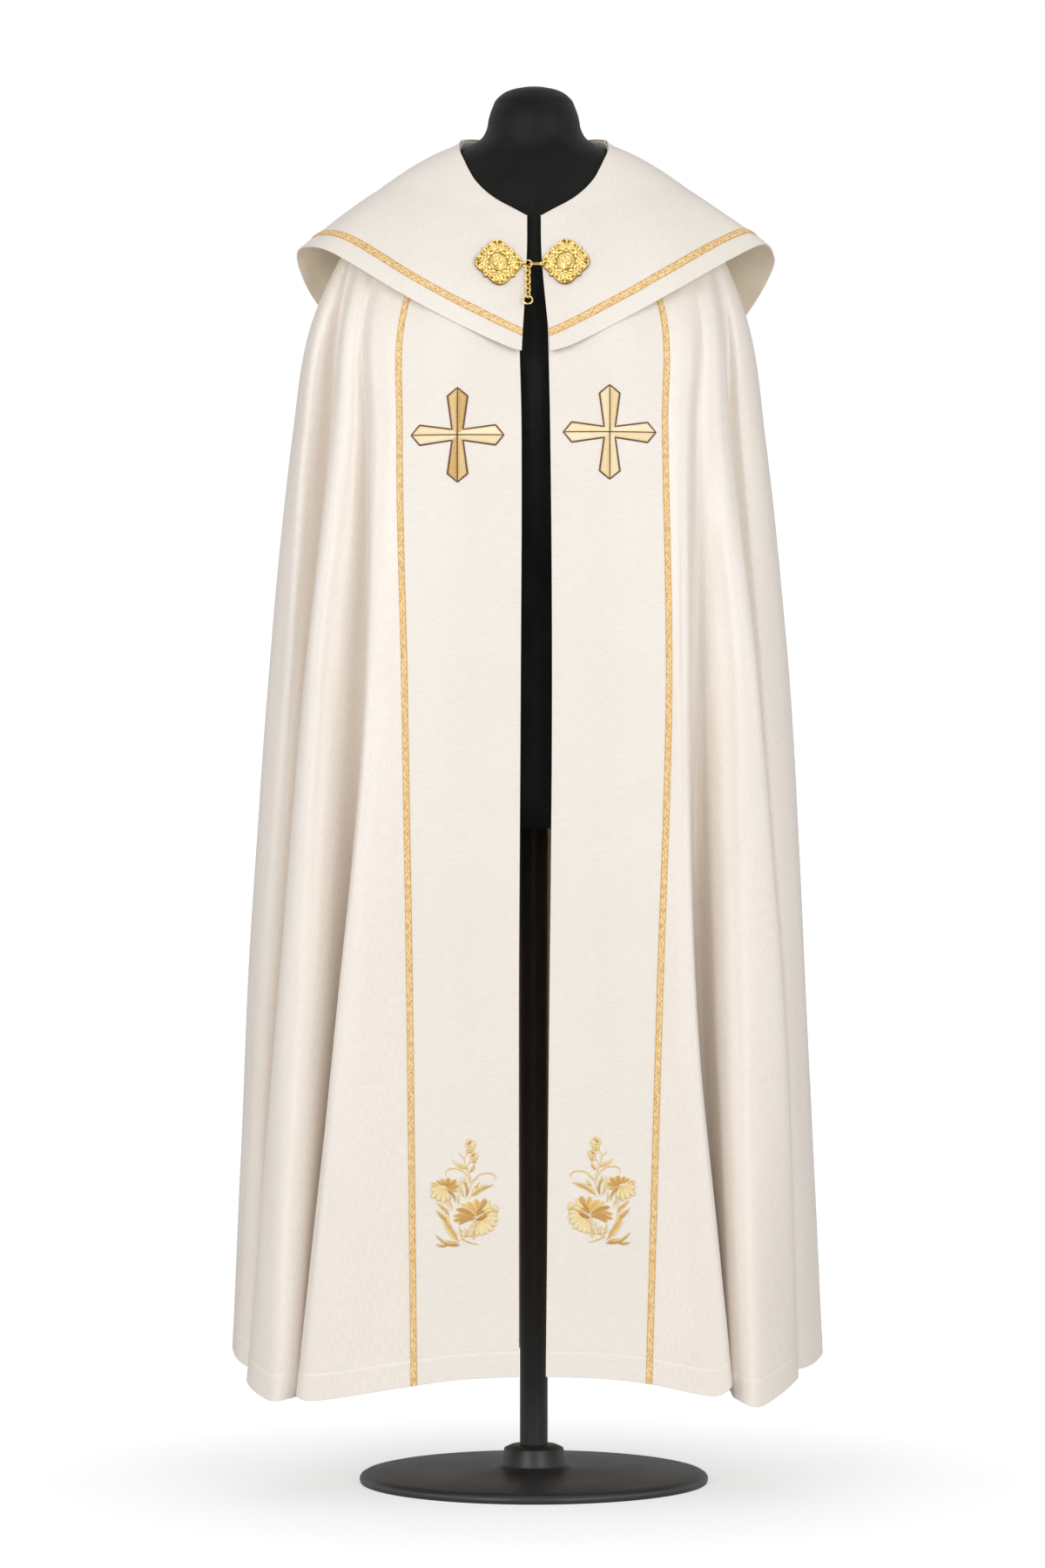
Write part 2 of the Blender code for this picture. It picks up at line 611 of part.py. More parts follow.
def wire_loop(name, centre, ahead, aside, half_length, half_width, wire, material, steps):
    """Closed oval of wire: half circles at the ends, straight runs between them."""
    curve = bpy.data.curves.new(name, "CURVE")
    curve.dimensions = "3D"
    curve.bevel_depth = wire
    curve.bevel_resolution = 1
    spline = curve.splines.new("POLY")
    straight = half_length - half_width
    points = []
    for step in range(steps):
        angle = 2 * math.pi * (step + 0.5) / steps
        shift = straight if math.cos(angle) > 0 else -straight
        place = ahead * (half_width * math.cos(angle) + shift) + aside * half_width * math.sin(angle)
        points.append(np.array(centre) + place)
    spline.points.add(len(points) - 1)
    for point, place in zip(spline.points, points):
        point.co = (*place, 1.0)
    spline.use_cyclic_u = True
    curve.materials.append(material)
    obj = bpy.data.objects.new(name, curve)
    PART.objects.link(obj)
    return obj


def make_clasp(tree, material):
    """Two plates, an eye on each, the ring and oval link between them, and the chain's free tail."""
    for side, (across, up) in PLATE_CENTRES.items():
        hit, normal = face_hit(tree, across, up)
        plate_mesh(f"clasp_plate_{side}", hit + normal * PLATE_SEAT[side], normal, material)
    near, _ = face_hit(tree, CAPE_PROBE[0], RING_CENTRE[1])
    low, _ = face_hit(tree, CAPE_PROBE[0], RING_CENTRE[1] - CAPE_PROBE[1])
    x_axis = np.array([1.0, 0.0, 0.0])
    down = unit(np.array([0.0, low[1] - near[1], low[2] - near[2]]))
    outward = np.cross(down, x_axis)
    centre = np.array([RING_CENTRE[0], near[1], RING_CENTRE[1]]) + outward * CLASP_LIFT

    wire_loop("clasp_ring", centre, x_axis, down, RING_BEND, RING_BEND, RING_WIRE, material, WIRE_STEPS)
    bend = EYE_BENDS["left"]
    eye_left = centre + x_axis * (-RING_BEND + RING_WIRE + LINK_WIRE + LINK_GAP - bend)
    wire_loop("clasp_eye_left", eye_left, x_axis, outward, bend, bend, LINK_WIRE, material, LINK_STEPS)
    oval_start = centre[0] + RING_BEND - (RING_WIRE + LINK_WIRE + OVAL_GAP)
    oval_centre = np.array([(oval_start + OVAL_END) / 2, centre[1], centre[2]])
    oval_half = (OVAL_END - oval_start) / 2
    slant = unit(outward + down)
    width = OVAL_HALF_WIDTH
    wire_loop("clasp_oval", oval_centre, x_axis, slant, oval_half, width, LINK_WIRE, material, WIRE_STEPS)
    bend = EYE_BENDS["right"]
    eye_right = np.array([EYE_RIGHT_AT, centre[1], centre[2]])
    slant = unit(outward - down)
    wire_loop("clasp_eye_right", eye_right, x_axis, slant, bend, bend, LINK_WIRE, material, LINK_STEPS)

    link_half = (LINK_PITCH + LINK_GAP) / 2 + LINK_WIRE
    first_top = RING_BEND - (RING_WIRE + LINK_WIRE + LINK_GAP)
    for number in range(TAIL_LINKS):
        link_centre = centre + down * (first_top + link_half + number * LINK_PITCH)
        aside = outward if number % 2 == 0 else x_axis
        name = f"chain_link_{number + 1}"
        width = LINK_HALF_WIDTH
        wire_loop(name, link_centre, down, aside, link_half, width, LINK_WIRE, material, LINK_STEPS)
    last_foot = first_top + 2 * link_half + (TAIL_LINKS - 1) * LINK_PITCH
    end_centre = centre + down * (last_foot - (RING_WIRE + LINK_WIRE + LINK_GAP) + RING_BEND)
    wire_loop("chain_end_ring", end_centre, down, x_axis, RING_BEND, RING_BEND, RING_WIRE, material, WIRE_STEPS)


# ---- the whole object ---------------------------------------------------------------------------
clear_scene()
PART = make_collection("cope_vestment")

silk = make_material("ivory_silk", (0.86, 0.80, 0.70), 0.5)
silk_side = make_material("ivory_silk_side", (0.82, 0.75, 0.64), 0.45)
braid = make_material("gold_braid", (0.80, 0.55, 0.24), 0.5, 0.2)
thread = make_material("gold_thread", (0.75, 0.50, 0.20), 0.45, 0.2)
gilt = make_material("gilt_metal", (0.85, 0.62, 0.25), 0.3, 1.0)
black = make_material("black_satin", (0.02, 0.02, 0.02), 0.35)
steel = make_material("black_steel", (0.03, 0.03, 0.03), 0.4, 0.5)

make_form(black)
make_pole(steel)
make_base(steel)

last_front = len(FRONT_FOLDS_AT_MINUS_X) - 1
first_other = last_front + len(BACK_FOLDS) + 1
last_fold = first_other + last_front
PLACES = np.concatenate(
    [
        places_between(0, 2, ORPHREY_STEPS)[:-1],
        places_between(2, last_front, FRONT_STEPS)[:-1],
        places_between(last_front, first_other, BACK_STEPS)[:-1],
        places_between(first_other, last_fold - 2, FRONT_STEPS)[:-1],
        places_between(last_fold - 2, last_fold, ORPHREY_STEPS),
    ]
)
body = body_grid(PLACES, YOKE_ROWS, DROPS)
body_normals = grid_normals(body)
columns = {fold: int(np.argmin(np.abs(PLACES - fold))) for fold in range(last_fold + 1)}
seams = (0, columns[2], columns[last_front], columns[first_other], columns[last_fold - 2], columns[last_fold])
names = ("orphrey_left", "side_left", "back", "side_right", "orphrey_right")
panels = {}
for name, first, last in zip(names, seams, seams[1:]):
    cloth = silk if name.startswith("orphrey") else silk_side
    panels[name] = panel(name, body, body_normals, first, last, cloth)

braid_rows = np.arange(BRAID_TOP_ROW, len(body))
braid_on_seam("galloon_left", body, body_normals, seams[1], braid_rows, braid)
braid_on_seam("galloon_right", body, body_normals, seams[4], braid_rows, braid)

cape_places = places_between(0, 2 * (len(CAPE_LINES) - 1), CAPE_STEPS)
cape_middle = cape_grid(cape_places, CAPE_YOKE_ROWS, CAPE_FREE_ROWS)
cape_normals = grid_normals(cape_middle)
cape = wall("cape", cape_middle + cape_normals * WALL / 2, cape_middle - cape_normals * WALL / 2, silk)
strip = slice(-3, -1)
foot = WALL / 2 + SEAM
wall(
    "galloon_cape",
    cape_middle[strip] + cape_normals[strip] * (foot + GALLOON_THICK),
    cape_middle[strip] + cape_normals[strip] * foot,
    braid,
)

for side, centre in CROSS_CENTRES.items():
    make_cross(f"cross_{side}", centre, face_tree(panels[f"orphrey_{side}"]), thread)
make_clasp(face_tree(cape), gilt)
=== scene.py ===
"""Cope vestment on its dress form: silk panels, shoulder cape, braid, embroidery, clasp and stand."""

import json
import math

import bmesh
import bpy
import numpy as np
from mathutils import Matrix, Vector
from mathutils.bvhtree import BVHTree


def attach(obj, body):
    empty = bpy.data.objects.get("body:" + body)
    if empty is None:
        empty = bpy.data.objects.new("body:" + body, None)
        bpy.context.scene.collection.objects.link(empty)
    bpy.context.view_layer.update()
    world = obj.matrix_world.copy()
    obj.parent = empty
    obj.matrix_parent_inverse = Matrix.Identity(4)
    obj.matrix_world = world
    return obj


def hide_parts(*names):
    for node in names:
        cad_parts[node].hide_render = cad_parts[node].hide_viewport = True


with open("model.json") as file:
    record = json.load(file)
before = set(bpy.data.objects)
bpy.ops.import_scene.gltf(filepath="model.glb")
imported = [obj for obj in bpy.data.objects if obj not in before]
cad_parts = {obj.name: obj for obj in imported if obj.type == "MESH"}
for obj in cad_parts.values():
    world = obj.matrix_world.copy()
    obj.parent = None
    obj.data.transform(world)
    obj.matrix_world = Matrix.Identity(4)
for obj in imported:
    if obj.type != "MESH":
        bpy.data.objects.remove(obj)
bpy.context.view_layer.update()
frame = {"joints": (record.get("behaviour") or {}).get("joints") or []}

MM = 0.001
BODY = "cope_and_form"
TAIL = "chain_tail"

# ---- sizes of the cloth, as the solids have them --------------------
WALL = 1.6 * MM
SEAM = 0.3 * MM
CLEAR_OF_FORM = 0.85 * MM
BODY_LIFT = CLEAR_OF_FORM + WALL / 2
NECK_EASE = 0.7 * MM
CAPE_GAP = 0.7 * MM
CAPE_LIFT = BODY_LIFT + NECK_EASE + WALL + CAPE_GAP
CAPE_RISE = 2 * MM
CAPE_SETTLE = 9 * MM
CAPE_LEAVES_FROM = 0.765
YOKE_Z = 1.450
FORM_HEM = 0.764
FORM_GRID = (170, 97)
YOKE_LEAST = 18 * MM
GALLOON_WIDTH = 8.2 * MM
SEAM_GALLOON_WIDTH = 7.0 * MM
GALLOON_INSET = 19 * MM
GALLOON_DROP = 3.5 * MM
BRAID_SEAT = 0.3 * MM
PROBE_TURN = 0.2
PROBE_RISE = 0.4 * MM

# Dress form, in mm: for each height its half width, depth to the front and depth to the back.
FORM_SECTIONS = (
    (1599, 14, 14, 14), (1596, 27, 27, 28), (1587, 41.5, 40, 42), (1576, 47.5, 46, 48),
    (1564, 51.5, 49, 52), (1550, 54.5, 50, 53), (1539, 62, 50, 54), (1529, 80, 51, 57),
    (1519, 105, 53, 60), (1507, 128, 57, 65), (1493, 150, 63, 71), (1480, 168, 68, 77),
    (1467, 184, 74, 83), (1455, 194.5, 79, 88), (1442, 200, 85, 93), (1420, 201.5, 91, 98),
    (1385, 200, 98, 102), (1330, 196, 106, 104), (1250, 181, 112, 103), (1150, 164, 108, 98),
    (1050, 148, 99, 92), (950, 156, 101, 103), (850, 174, 108, 118), (770, 179, 110, 120),
    (750, 173, 105, 114),
)  # fmt: skip

# Neckline: turns about the neck, in degrees from the front, and its height there in mm.
NECKLINE = (
    (0, 1440.5), (2.5, 1441.2), (4, 1443.8), (8, 1451.2), (13, 1460.5), (19, 1472.8), (24, 1483.5),
    (30, 1495.5), (36, 1505), (42, 1511.8), (52, 1519.2), (62, 1524), (70, 1527.2), (76, 1530),
    (84, 1534.2), (90, 1537), (110, 1542), (135, 1544), (180, 1544),
)  # fmt: skip
# Half width and depths below which the cloth no longer follows the neck but stands upright round it.
NECK_STAND = (0.0780, 0.0505, 0.057)
NECK_BLEND = 10

# Levels at which the folds are set out: yoke, chest, waist, thigh, knee and hem.
HEM_DROP = 1.33
LEVEL_DROP = (0.0, 0.12, 0.25, 0.55, 0.90, HEM_DROP)
LEVEL_Z = (YOKE_Z, 1.330, 1.200, 0.900, 0.550, 0.120)

# Folds from the opening edge to the side: turn on the yoke, plan at each level in mm, height of the hem.
FOLDS_AT_MINUS_X = (
    (2.2, (-16, -127), (-14, -136), (-15, -147), (-17, -158), (-17, -172), 139),
    (17, (-85, -128), (-86, -139), (-84, -153), (-80, -166), (-77, -181), 137),
    (31, (-147, -108), (-151, -123), (-145, -143), (-139, -158), (-134, -174), 129),
    (37, (-168, -101), (-169, -116), (-176, -139), (-200, -155), (-238, -165), 112),
    (42, (-180, -95), (-181, -108), (-189, -131), (-219, -146), (-264, -156), 114),
    (47, (-187, -86), (-186, -94), (-188, -104), (-218, -114), (-264, -132), 121),
    (52, (-192, -78), (-190, -80), (-190, -64), (-219, -52), (-263, -100), 116),
    (57, (-202, -78), (-204, -86), (-217, -84), (-238, -92), (-272, -124), 110),
    (62, (-212, -72), (-220, -83), (-246, -91), (-268, -98), (-300, -120), 107),
    (67, (-217, -55), (-229, -68), (-262, -71), (-291, -74), (-325, -72), 123),
    (72, (-216, -40), (-226, -42), (-258, -38), (-288, -36), (-318, -32), 126),
    (77, (-222, -24), (-231, -10), (-258, -5), (-285, 0), (-305, 2), 128),
    (82, (-236, -28), (-248, -22), (-272, -16), (-301, -9), (-326, -4), 131),
    (88, (-247, -20), (-264, -22), (-289, -11), (-317, -2), (-342, 14), 141),
    (94, (-255, 14), (-277, 19), (-307, 34), (-330, 44), (-348, 52), 148),
    (102, (-251, 34), (-271, 42), (-298, 58), (-318, 72), (-334, 82), 147),
)
FOLDS_AT_PLUS_X = (
    (3.4, (15, -127), (18, -136), (20, -147), (17, -158), (13, -172), 139),
    (17, (84, -128), (86, -139), (88, -153), (80, -166), (73, -181), 138),
    (31, (145, -108), (147, -123), (151, -143), (140, -158), (128, -173), 131),
    (37, (164, -102), (165, -117), (166, -140), (170, -155), (198, -168), 117),
    (42, (175, -96), (175, -110), (174, -132), (181, -149), (220, -164), 126),
    (47, (183, -88), (181, -98), (174, -104), (179, -114), (220, -140), 128),
    (52, (188, -82), (187, -93), (182, -82), (186, -48), (219, -96), 122),
    (54, (192, -80), (192, -92), (190, -80), (200, -56), (222, -116), 116),
    (57, (198, -77), (200, -89), (203, -87), (207, -88), (228, -132), 109),
    (62, (206, -70), (212, -81), (232, -92), (237, -99), (255, -130), 101),
    (67, (213, -55), (222, -66), (254, -78), (281, -73), (298, -68), 125),
    (72, (214, -42), (219, -46), (250, -46), (276, -42), (292, -36), 128),
    (77, (219, -30), (221, -28), (248, -20), (271, -14), (285, -8), 128),
    (82, (230, -28), (239, -30), (265, -24), (291, -16), (308, -6), 130),
    (88, (240, -12), (257, -12), (286, -2), (308, 8), (325, 18), 135),
    (94, (246, 14), (266, 19), (297, 34), (314, 44), (332, 52), 145),
    (102, (243, 34), (261, 42), (288, 58), (304, 72), (319, 82), 147),
)
# Turned hem: how deep it is, and where its stitches run.
HEM_DEEP = 0.0305
HEM_STITCH = 0.0292

# The back's oval at chest, waist, thigh, knee and hem: half width, depth, share of the fold that shows.
BACK_OVAL = ((250, 127, 0.12), (268, 150, 0.26), (296, 190, 0.52), (318, 231, 0.79), (336, 262, 1.00))
BACK_FOLDS = (
    (112, -36), (124, 6), (136, -44), (148, 9), (159, -38), (170, 6), (181, -42),
    (192, 9), (203, -35), (214, 5), (225, -46), (237, 7), (248, -34),
)  # fmt: skip
BACK_HEM = 128

# Cape: turn, height where it leaves the shoulder, ends at -X and at +X, bow of the free part.
CAPE_LINES = (
    (2.2, 1425, (-14, -154, 1285.5), (18, -154, 1285), 2),
    (7.0, 1431, (-30, -154, 1290), (44, -151, 1293), 3),
    (19.0, 1452, (-90, -141, 1319), (104, -137, 1324), 4),
    (34.0, 1465, (-152, -117, 1354), (164, -113, 1359), 5),
    (55.0, 1474, (-227, -66, 1402), (224, -66, 1396), 3),
    (72.0, 1477, (-257, -30, 1413), (262, -30, 1416), 2),
    (88.0, 1477, (-271, 2, 1409), (275, 2, 1407), 2),
    (102.0, 1474, (-268, 34, 1388), (274, 34, 1390), 3),
    (118.0, 1468, (-251, 70, 1357), (250, 72, 1349), 5),
    (138.0, 1455, (-198, 117, 1290), (198, 117, 1286), 6),
    (160.0, 1445, (-108, 156, 1222), (108, 156, 1220), 4),
    (180.0, 1440, (0, 168, 1188), (0, 168, 1188), 3),
)

# Clasp.
PLATE_CENTRES = {"left": (-40.6 * MM, 1.386), "right": (36.2 * MM, 1.387)}
PLATE_SEAT = {"left": 0.75 * MM, "right": 1.2 * MM}
PLATE_RADIUS = 26.0 * MM
PLATE_TALL = 1.06
RING_BEND = 4.5 * MM
END_RING_BEND = 5.0 * MM
RING_WIRE = 0.95 * MM
LINK_WIRE = 0.85 * MM
LINK_HALF_WIDTH = 3.3 * MM
LINK_PITCH = 5.6 * MM
LINK_GAP = 0.32 * MM
OVAL_GAP = 0.5 * MM
OVAL_HALF_WIDTH = 2.6 * MM
OVAL_END = 8.6 * MM
EYE_BENDS = {"left": 2.3 * MM, "right": 1.55 * MM}
EYE_RIGHT_AT = 8.7 * MM
TAIL_LINKS = 7
# Plate: its ground in mm over its back, and its edge and back as share of its reach and height in mm.
PLATE_GROUND = 2.1
PLATE_EDGE = ((0.995, 2.0), (1.0, 1.5), (1.0, 0.35), (0.985, 0.0), (0.5, 0.0), (0.0, 0.0))
# Scrolls of a lobe: how far out and how far beside its middle, and radius, as shares of the plate's radius.
SCROLLS = ((0.60, 0.30, 0.075), (0.80, 0.25, 0.05), (0.45, 0.47, 0.05))
PLATE_GRID = (90, 241)
WIRE_GRID = (49, 13)

CROSS_CENTRES = {"left": (-85.8 * MM, 1.1914), "right": (84.7 * MM, 1.1947)}


# ---- materials --------------------
class Value:
    """A socket in a tree of nodes. Arithmetic on it adds the nodes that work it out."""

    def __init__(self, finish, socket):
        self.finish = finish
        self.socket = socket

    def maths(self, operation, *parts):
        return self.finish.node("Math", {"operation": operation}, dict(enumerate(parts)))

    def __add__(self, other):
        return self.maths("ADD", self, other)

    def __mul__(self, other):
        return self.maths("MULTIPLY", self, other)

    def __sub__(self, other):
        return self.maths("SUBTRACT", self, other)

    def __rsub__(self, other):
        return self.maths("SUBTRACT", other, self)

    def __truediv__(self, other):
        return self.maths("DIVIDE", self, other)

    def __pow__(self, other):
        return self.maths("POWER", self, other)

    __radd__, __rmul__ = __add__, __mul__

    def wave(self, length):
        """Sine wave between 0 and 1, so long from crest to crest."""
        return self.maths("SINE", self * (2 * math.pi / length)) * 0.5 + 0.5

    def ramp(self, low, high, start=0.0, end=1.0, kind="SMOOTHSTEP"):
        """Goes from start to end while this value goes from low to high."""
        places = {"Value": self, "From Min": low, "From Max": high, "To Min": start, "To Max": end}
        return self.finish.node("MapRange", {"interpolation_type": kind, "clamp": True}, places)


class Finish:
    """A material, or the room, with its one shader and the means to add nodes to it."""

    def __init__(self, name, owner=None, shader="Principled BSDF", **constants):
        self.material = owner or bpy.data.materials.new(name)
        self.material.use_nodes = True
        self.tree = self.material.node_tree
        self.shader = self.tree.nodes[shader]
        self.set(**constants)

    def node(self, kind, settings=None, values=None, output=0):
        node = self.tree.nodes.new("ShaderNode" + kind)
        for key, value in (settings or {}).items():
            if key == "stops":
                for stop, (place, colour) in enumerate(value):
                    elements = node.color_ramp.elements
                    element = elements[stop] if stop < len(elements) else elements.new(place)
                    element.position = place
                    element.color = (*colour, 1.0)
            else:
                setattr(node, key, value)
        for key, value in (values or {}).items():
            self.feed(node.inputs[key], value)
        return Value(self, node.outputs[output])

    def feed(self, socket, value):
        if isinstance(value, Value):
            self.tree.links.new(value.socket, socket)
        elif isinstance(value, tuple) and socket.type == "RGBA":
            socket.default_value = (*value, 1.0)
        else:
            socket.default_value = value

    def set(self, **values):
        for socket, value in values.items():
            self.feed(self.shader.inputs[socket.replace("_", " ")], value)

    def mix(self, share, first, second):
        return self.node("Mix", {"data_type": "RGBA"}, {0: share, 6: first, 7: second}, 2)

    def place(self):
        return self.node("TexCoord", output="Object")

    def parts(self, vector):
        node = self.tree.nodes.new("ShaderNodeSeparateXYZ")
        self.feed(node.inputs[0], vector)
        return [Value(self, socket) for socket in node.outputs]

    def threads(self):
        """Where a point lies across and along the grain, in metres."""
        self.across, self.along, _ = self.parts(self.node("UVMap", {"uv_map": "grain"}))
        return self.across, self.along

    def cell(self, wide, long, start=0.0):
        return self.node("CombineXYZ", values={0: self.across / wide, 1: self.along / long, 2: start})

    def noise(self, vector, scale=1.0, detail=2.0):
        return self.node("TexNoise", values={"Vector": vector, "Scale": scale, "Detail": detail})

    def woven(self, wide, long, start=0.0, detail=2.0):
        """Noise that follows the grain, in clouds so wide and so long."""
        return self.noise(self.cell(wide, long, start), detail=detail)

    def attribute(self, name):
        return self.node("Attribute", {"attribute_name": name}, output="Fac")

    def made(self, height, distance, **values):
        """The material, once it has these inputs and the bump of this height."""
        self.set(Normal=self.node("Bump", values={"Height": height, "Distance": distance}), **values)
        return self.material


def linear(red, green, blue):
    """A colour given as it is seen, 0 to 255, as the light it stands for."""
    parts = (red / 255, green / 255, blue / 255)
    return tuple(part / 12.92 if part <= 0.04045 else ((part + 0.055) / 1.055) ** 2.4 for part in parts)


def silk(name, light, shade, glints=0.0, rough=0.46):
    """Slubbed silk: threads along the grain of different thickness, clouds of tone, and a satin gloss; with
    glints, the glints of metal thread are painted as near-white dots in the base colour.
    """
    finish = Finish(name, Specular_IOR_Level=0.8)
    finish.threads()
    slub = finish.woven(0.0014, 0.012, detail=3.0)
    thread = finish.woven(0.0007, 0.004, 4.0, detail=1.0)
    weft = finish.woven(0.006, 0.0008, 9.0, detail=1.0)
    cloud = finish.woven(0.09, 0.22, 2.0)
    tone = slub.ramp(0.34, 0.66) * 0.50 + thread.ramp(0.3, 0.7) * 0.28 + cloud.ramp(0.3, 0.7) * 0.22
    colour = finish.mix(tone, shade, light)
    roughness = rough + (0.5 - slub) * 0.25
    # Painted glints: near-white dots mixed into the base colour where metal thread would catch the light,
    # with lower roughness there.
    if glints:
        cells = {"Vector": finish.cell(0.0016, 0.0030), "Scale": 1.0}
        near = finish.node("TexVoronoi", values=cells)
        draw = finish.node("TexVoronoi", values=cells, output="Color")
        chosen = finish.parts(draw)[0].ramp(0.90, 0.96)
        painted_spark = near.ramp(0.12, 0.30, 1.0, 0.0) * chosen
        colour = finish.mix(painted_spark * glints, colour, (1.0, 0.97, 0.92))
        roughness = roughness - painted_spark * 0.18
    relief = slub * 0.6 + thread * 0.25 + weft * 0.15
    return finish.made(relief, 0.00022, Base_Color=colour, Roughness=roughness)


def lining(name, light, shade):
    """Smooth lining with a satin face and faint creases."""
    finish = Finish(name, Sheen_Weight=0.2, Specular_IOR_Level=0.4)
    finish.threads()
    cloud = finish.woven(0.05, 0.12)
    weave = finish.woven(0.0006, 0.0006, 3.0, detail=1.0)
    colour = finish.mix(cloud.ramp(0.3, 0.7), shade, light)
    return finish.made(weave * 0.2 + cloud * 0.8, 0.00025, Base_Color=colour, Roughness=0.42 + cloud * 0.12)


def woven_gold(name, low, high, metallic, rough):
    """Gold thread laid in ridges: painted shade darker between them and painted highlights lighter on their
    tops, with the twist of the thread along it.
    """
    finish = Finish(name, Sheen_Weight=0.1)
    across, along = finish.threads()
    relief = finish.attribute("relief")
    twist = (along + across * 0.6).wave(0.0011)
    grain = finish.woven(0.0006, 0.0012)
    wear = finish.woven(0.003, 0.0055, 7.0)
    # relief paints the tone: painted highlight on the raised threads, painted shade between them.
    tone = relief * 0.55 + twist * 0.12 + grain * 0.45 + (wear - 0.5) * 0.9
    return finish.made(
        twist * 0.5 + grain * 0.5,
        0.00018,
        Base_Color=finish.mix(tone.ramp(0.12, 0.92), low, high),
        Metallic=metallic + (grain - 0.5) * 0.2,
        Roughness=rough + (0.5 - grain) * 0.3,
    )


def satin_stitch(name, tones, metallic, rough=0.42, pitch=0.0006):
    """Satin stitch: parallel threads across the shape; the attribute tone goes through the tones, and painted
    glints lift it in small spots.
    """
    finish = Finish(name, Sheen_Weight=0.15)
    _, along = finish.threads()
    tone = finish.attribute("tone")
    wander = finish.woven(0.002, 0.002, detail=1.0)
    threads = (along + wander * 0.0005).wave(pitch)
    patch = finish.woven(0.003, 0.0007, 6.0)
    stops = [(place / (len(tones) - 1), linear(*colour)) for place, colour in enumerate(tones)]
    # Painted glints: small spots made lighter in the base colour.
    painted_glint = finish.woven(0.0009, 0.0009, 3.0, detail=1.0).ramp(0.56, 0.68)
    level = tone + (patch - 0.5) * 0.7 + (threads - 0.5) * 0.10 + painted_glint * 0.30
    return finish.made(
        threads * 0.6 + patch * 0.4,
        0.00016,
        Base_Color=finish.node("ValToRGB", {"stops": stops}, {0: level}),
        Metallic=metallic + (patch - 0.5) * 0.15,
        Roughness=rough + (0.5 - patch) * 0.3,
    )


def gilt(name):
    """Cast and gilt metal: painted highlights on the high parts and painted shade, browner, in the hollows,
    with fine casting grain.
    """
    finish = Finish(name, Metallic=1.0)
    relief = finish.attribute("relief")
    grain = finish.noise(finish.place(), scale=900.0, detail=3.0)
    cloud = finish.noise(finish.place(), scale=120.0)
    height = (relief + (cloud - 0.5) * 0.3).ramp(0.08, 0.85)
    return finish.made(
        grain,
        0.00006,
        Base_Color=finish.mix(height, (0.32, 0.17, 0.025), (1.0, 0.74, 0.28)),
        Roughness=0.30 - height * 0.08 + (grain - 0.5) * 0.10,
    )


def black_satin(name):
    finish = Finish(name, Specular_IOR_Level=0.10)
    finish.threads()
    weave = finish.woven(0.0006, 0.0011, detail=1.0)
    cloud = finish.woven(0.06, 0.05, 3.0)
    dark, grey = (0.006, 0.006, 0.006), (0.014, 0.014, 0.013)
    return finish.made(
        weave * 0.25 + cloud * 0.75,
        0.0005,
        Base_Color=finish.mix(weave * 0.5 + cloud.ramp(0.3, 0.7) * 0.5, dark, grey),
        Roughness=0.36 + (cloud - 0.5) * 0.16 + (weave - 0.5) * 0.1,
    )


def painted_steel(name):
    finish = Finish(name, Specular_IOR_Level=0.5)
    speck = finish.noise(finish.place(), scale=700.0, detail=2.0)
    cloud = finish.noise(finish.place(), scale=14.0)
    return finish.made(
        speck,
        0.00008,
        Base_Color=finish.mix(cloud, (0.014, 0.014, 0.015), (0.028, 0.028, 0.030)),
        Roughness=0.40 + (cloud - 0.5) * 0.15 + (speck - 0.5) * 0.1,
    )


def pale_floor(name):
    """Matt floor that turns as bright as the room around it further out."""
    finish = Finish(name, Specular_IOR_Level=0.1, Roughness=0.9)
    x, y, _ = finish.parts(finish.place())
    out = (x * x + y * y) ** 0.5
    grain = finish.noise(finish.place(), scale=3.0)
    finish.set(Base_Color=finish.mix(grain, (0.90, 0.90, 0.90), (0.94, 0.94, 0.94)))
    far = out.ramp(0.20, 0.80, 0.55, 1.0)
    seen = finish.node("LightPath").ramp(0.0, 1.0, *FLOOR_GLOW)
    glow = finish.node("Emission", values={"Strength": seen})
    matt = Value(finish, finish.shader.outputs[0])
    blend = finish.node("MixShader", values={0: far, 1: matt, 2: glow})
    finish.feed(finish.tree.nodes["Material Output"].inputs[0], blend)
    return finish.material


# ---- curves and grids --------------------
def smooth(stations, values, at):
    """Cubic curve through a row of values for each station, read at the places asked for."""
    stations = np.asarray(stations, float)
    values = np.asarray(values, float)
    at = np.atleast_1d(at)
    chords = np.diff(values, axis=0) / np.diff(stations)[:, None]
    slope = np.concatenate([chords[:1], 0.5 * (chords[1:] + chords[:-1]), chords[-1:]])
    index = np.clip(np.searchsorted(stations, at, side="right") - 1, 0, len(stations) - 2)
    span = (stations[index + 1] - stations[index])[:, None]
    step = (at - stations[index])[:, None] / span
    start = values[index] * (1 + 2 * step) * (1 - step) ** 2 + slope[index] * span * step * (1 - step) ** 2
    end = values[index + 1] * step**2 * (3 - 2 * step) + slope[index + 1] * span * step**2 * (step - 1)
    return start + end


def unit(vectors):
    return vectors / np.linalg.norm(vectors, axis=-1, keepdims=True)


def pairs(first, second):
    """The two values of every place of a grid, such as its UV map."""
    return np.stack(np.broadcast_arrays(first, second), axis=-1)


def left_of(ahead):
    """Directions in the plane a quarter turn to the left of these."""
    return ahead[..., ::-1] * (-1, 1)


def grid_normals(grid):
    return unit(np.cross(np.gradient(grid, axis=1), np.gradient(grid, axis=0)))


def step_between(low, high, value):
    share = np.clip((value - low) / (high - low), 0, 1)
    return share * share * (3 - 2 * share)


def ring_at(reach, radius, width):
    """A soft ridge: 1 where reach equals radius, falling off over the width."""
    return np.exp(-(((reach - radius) / width) ** 2))


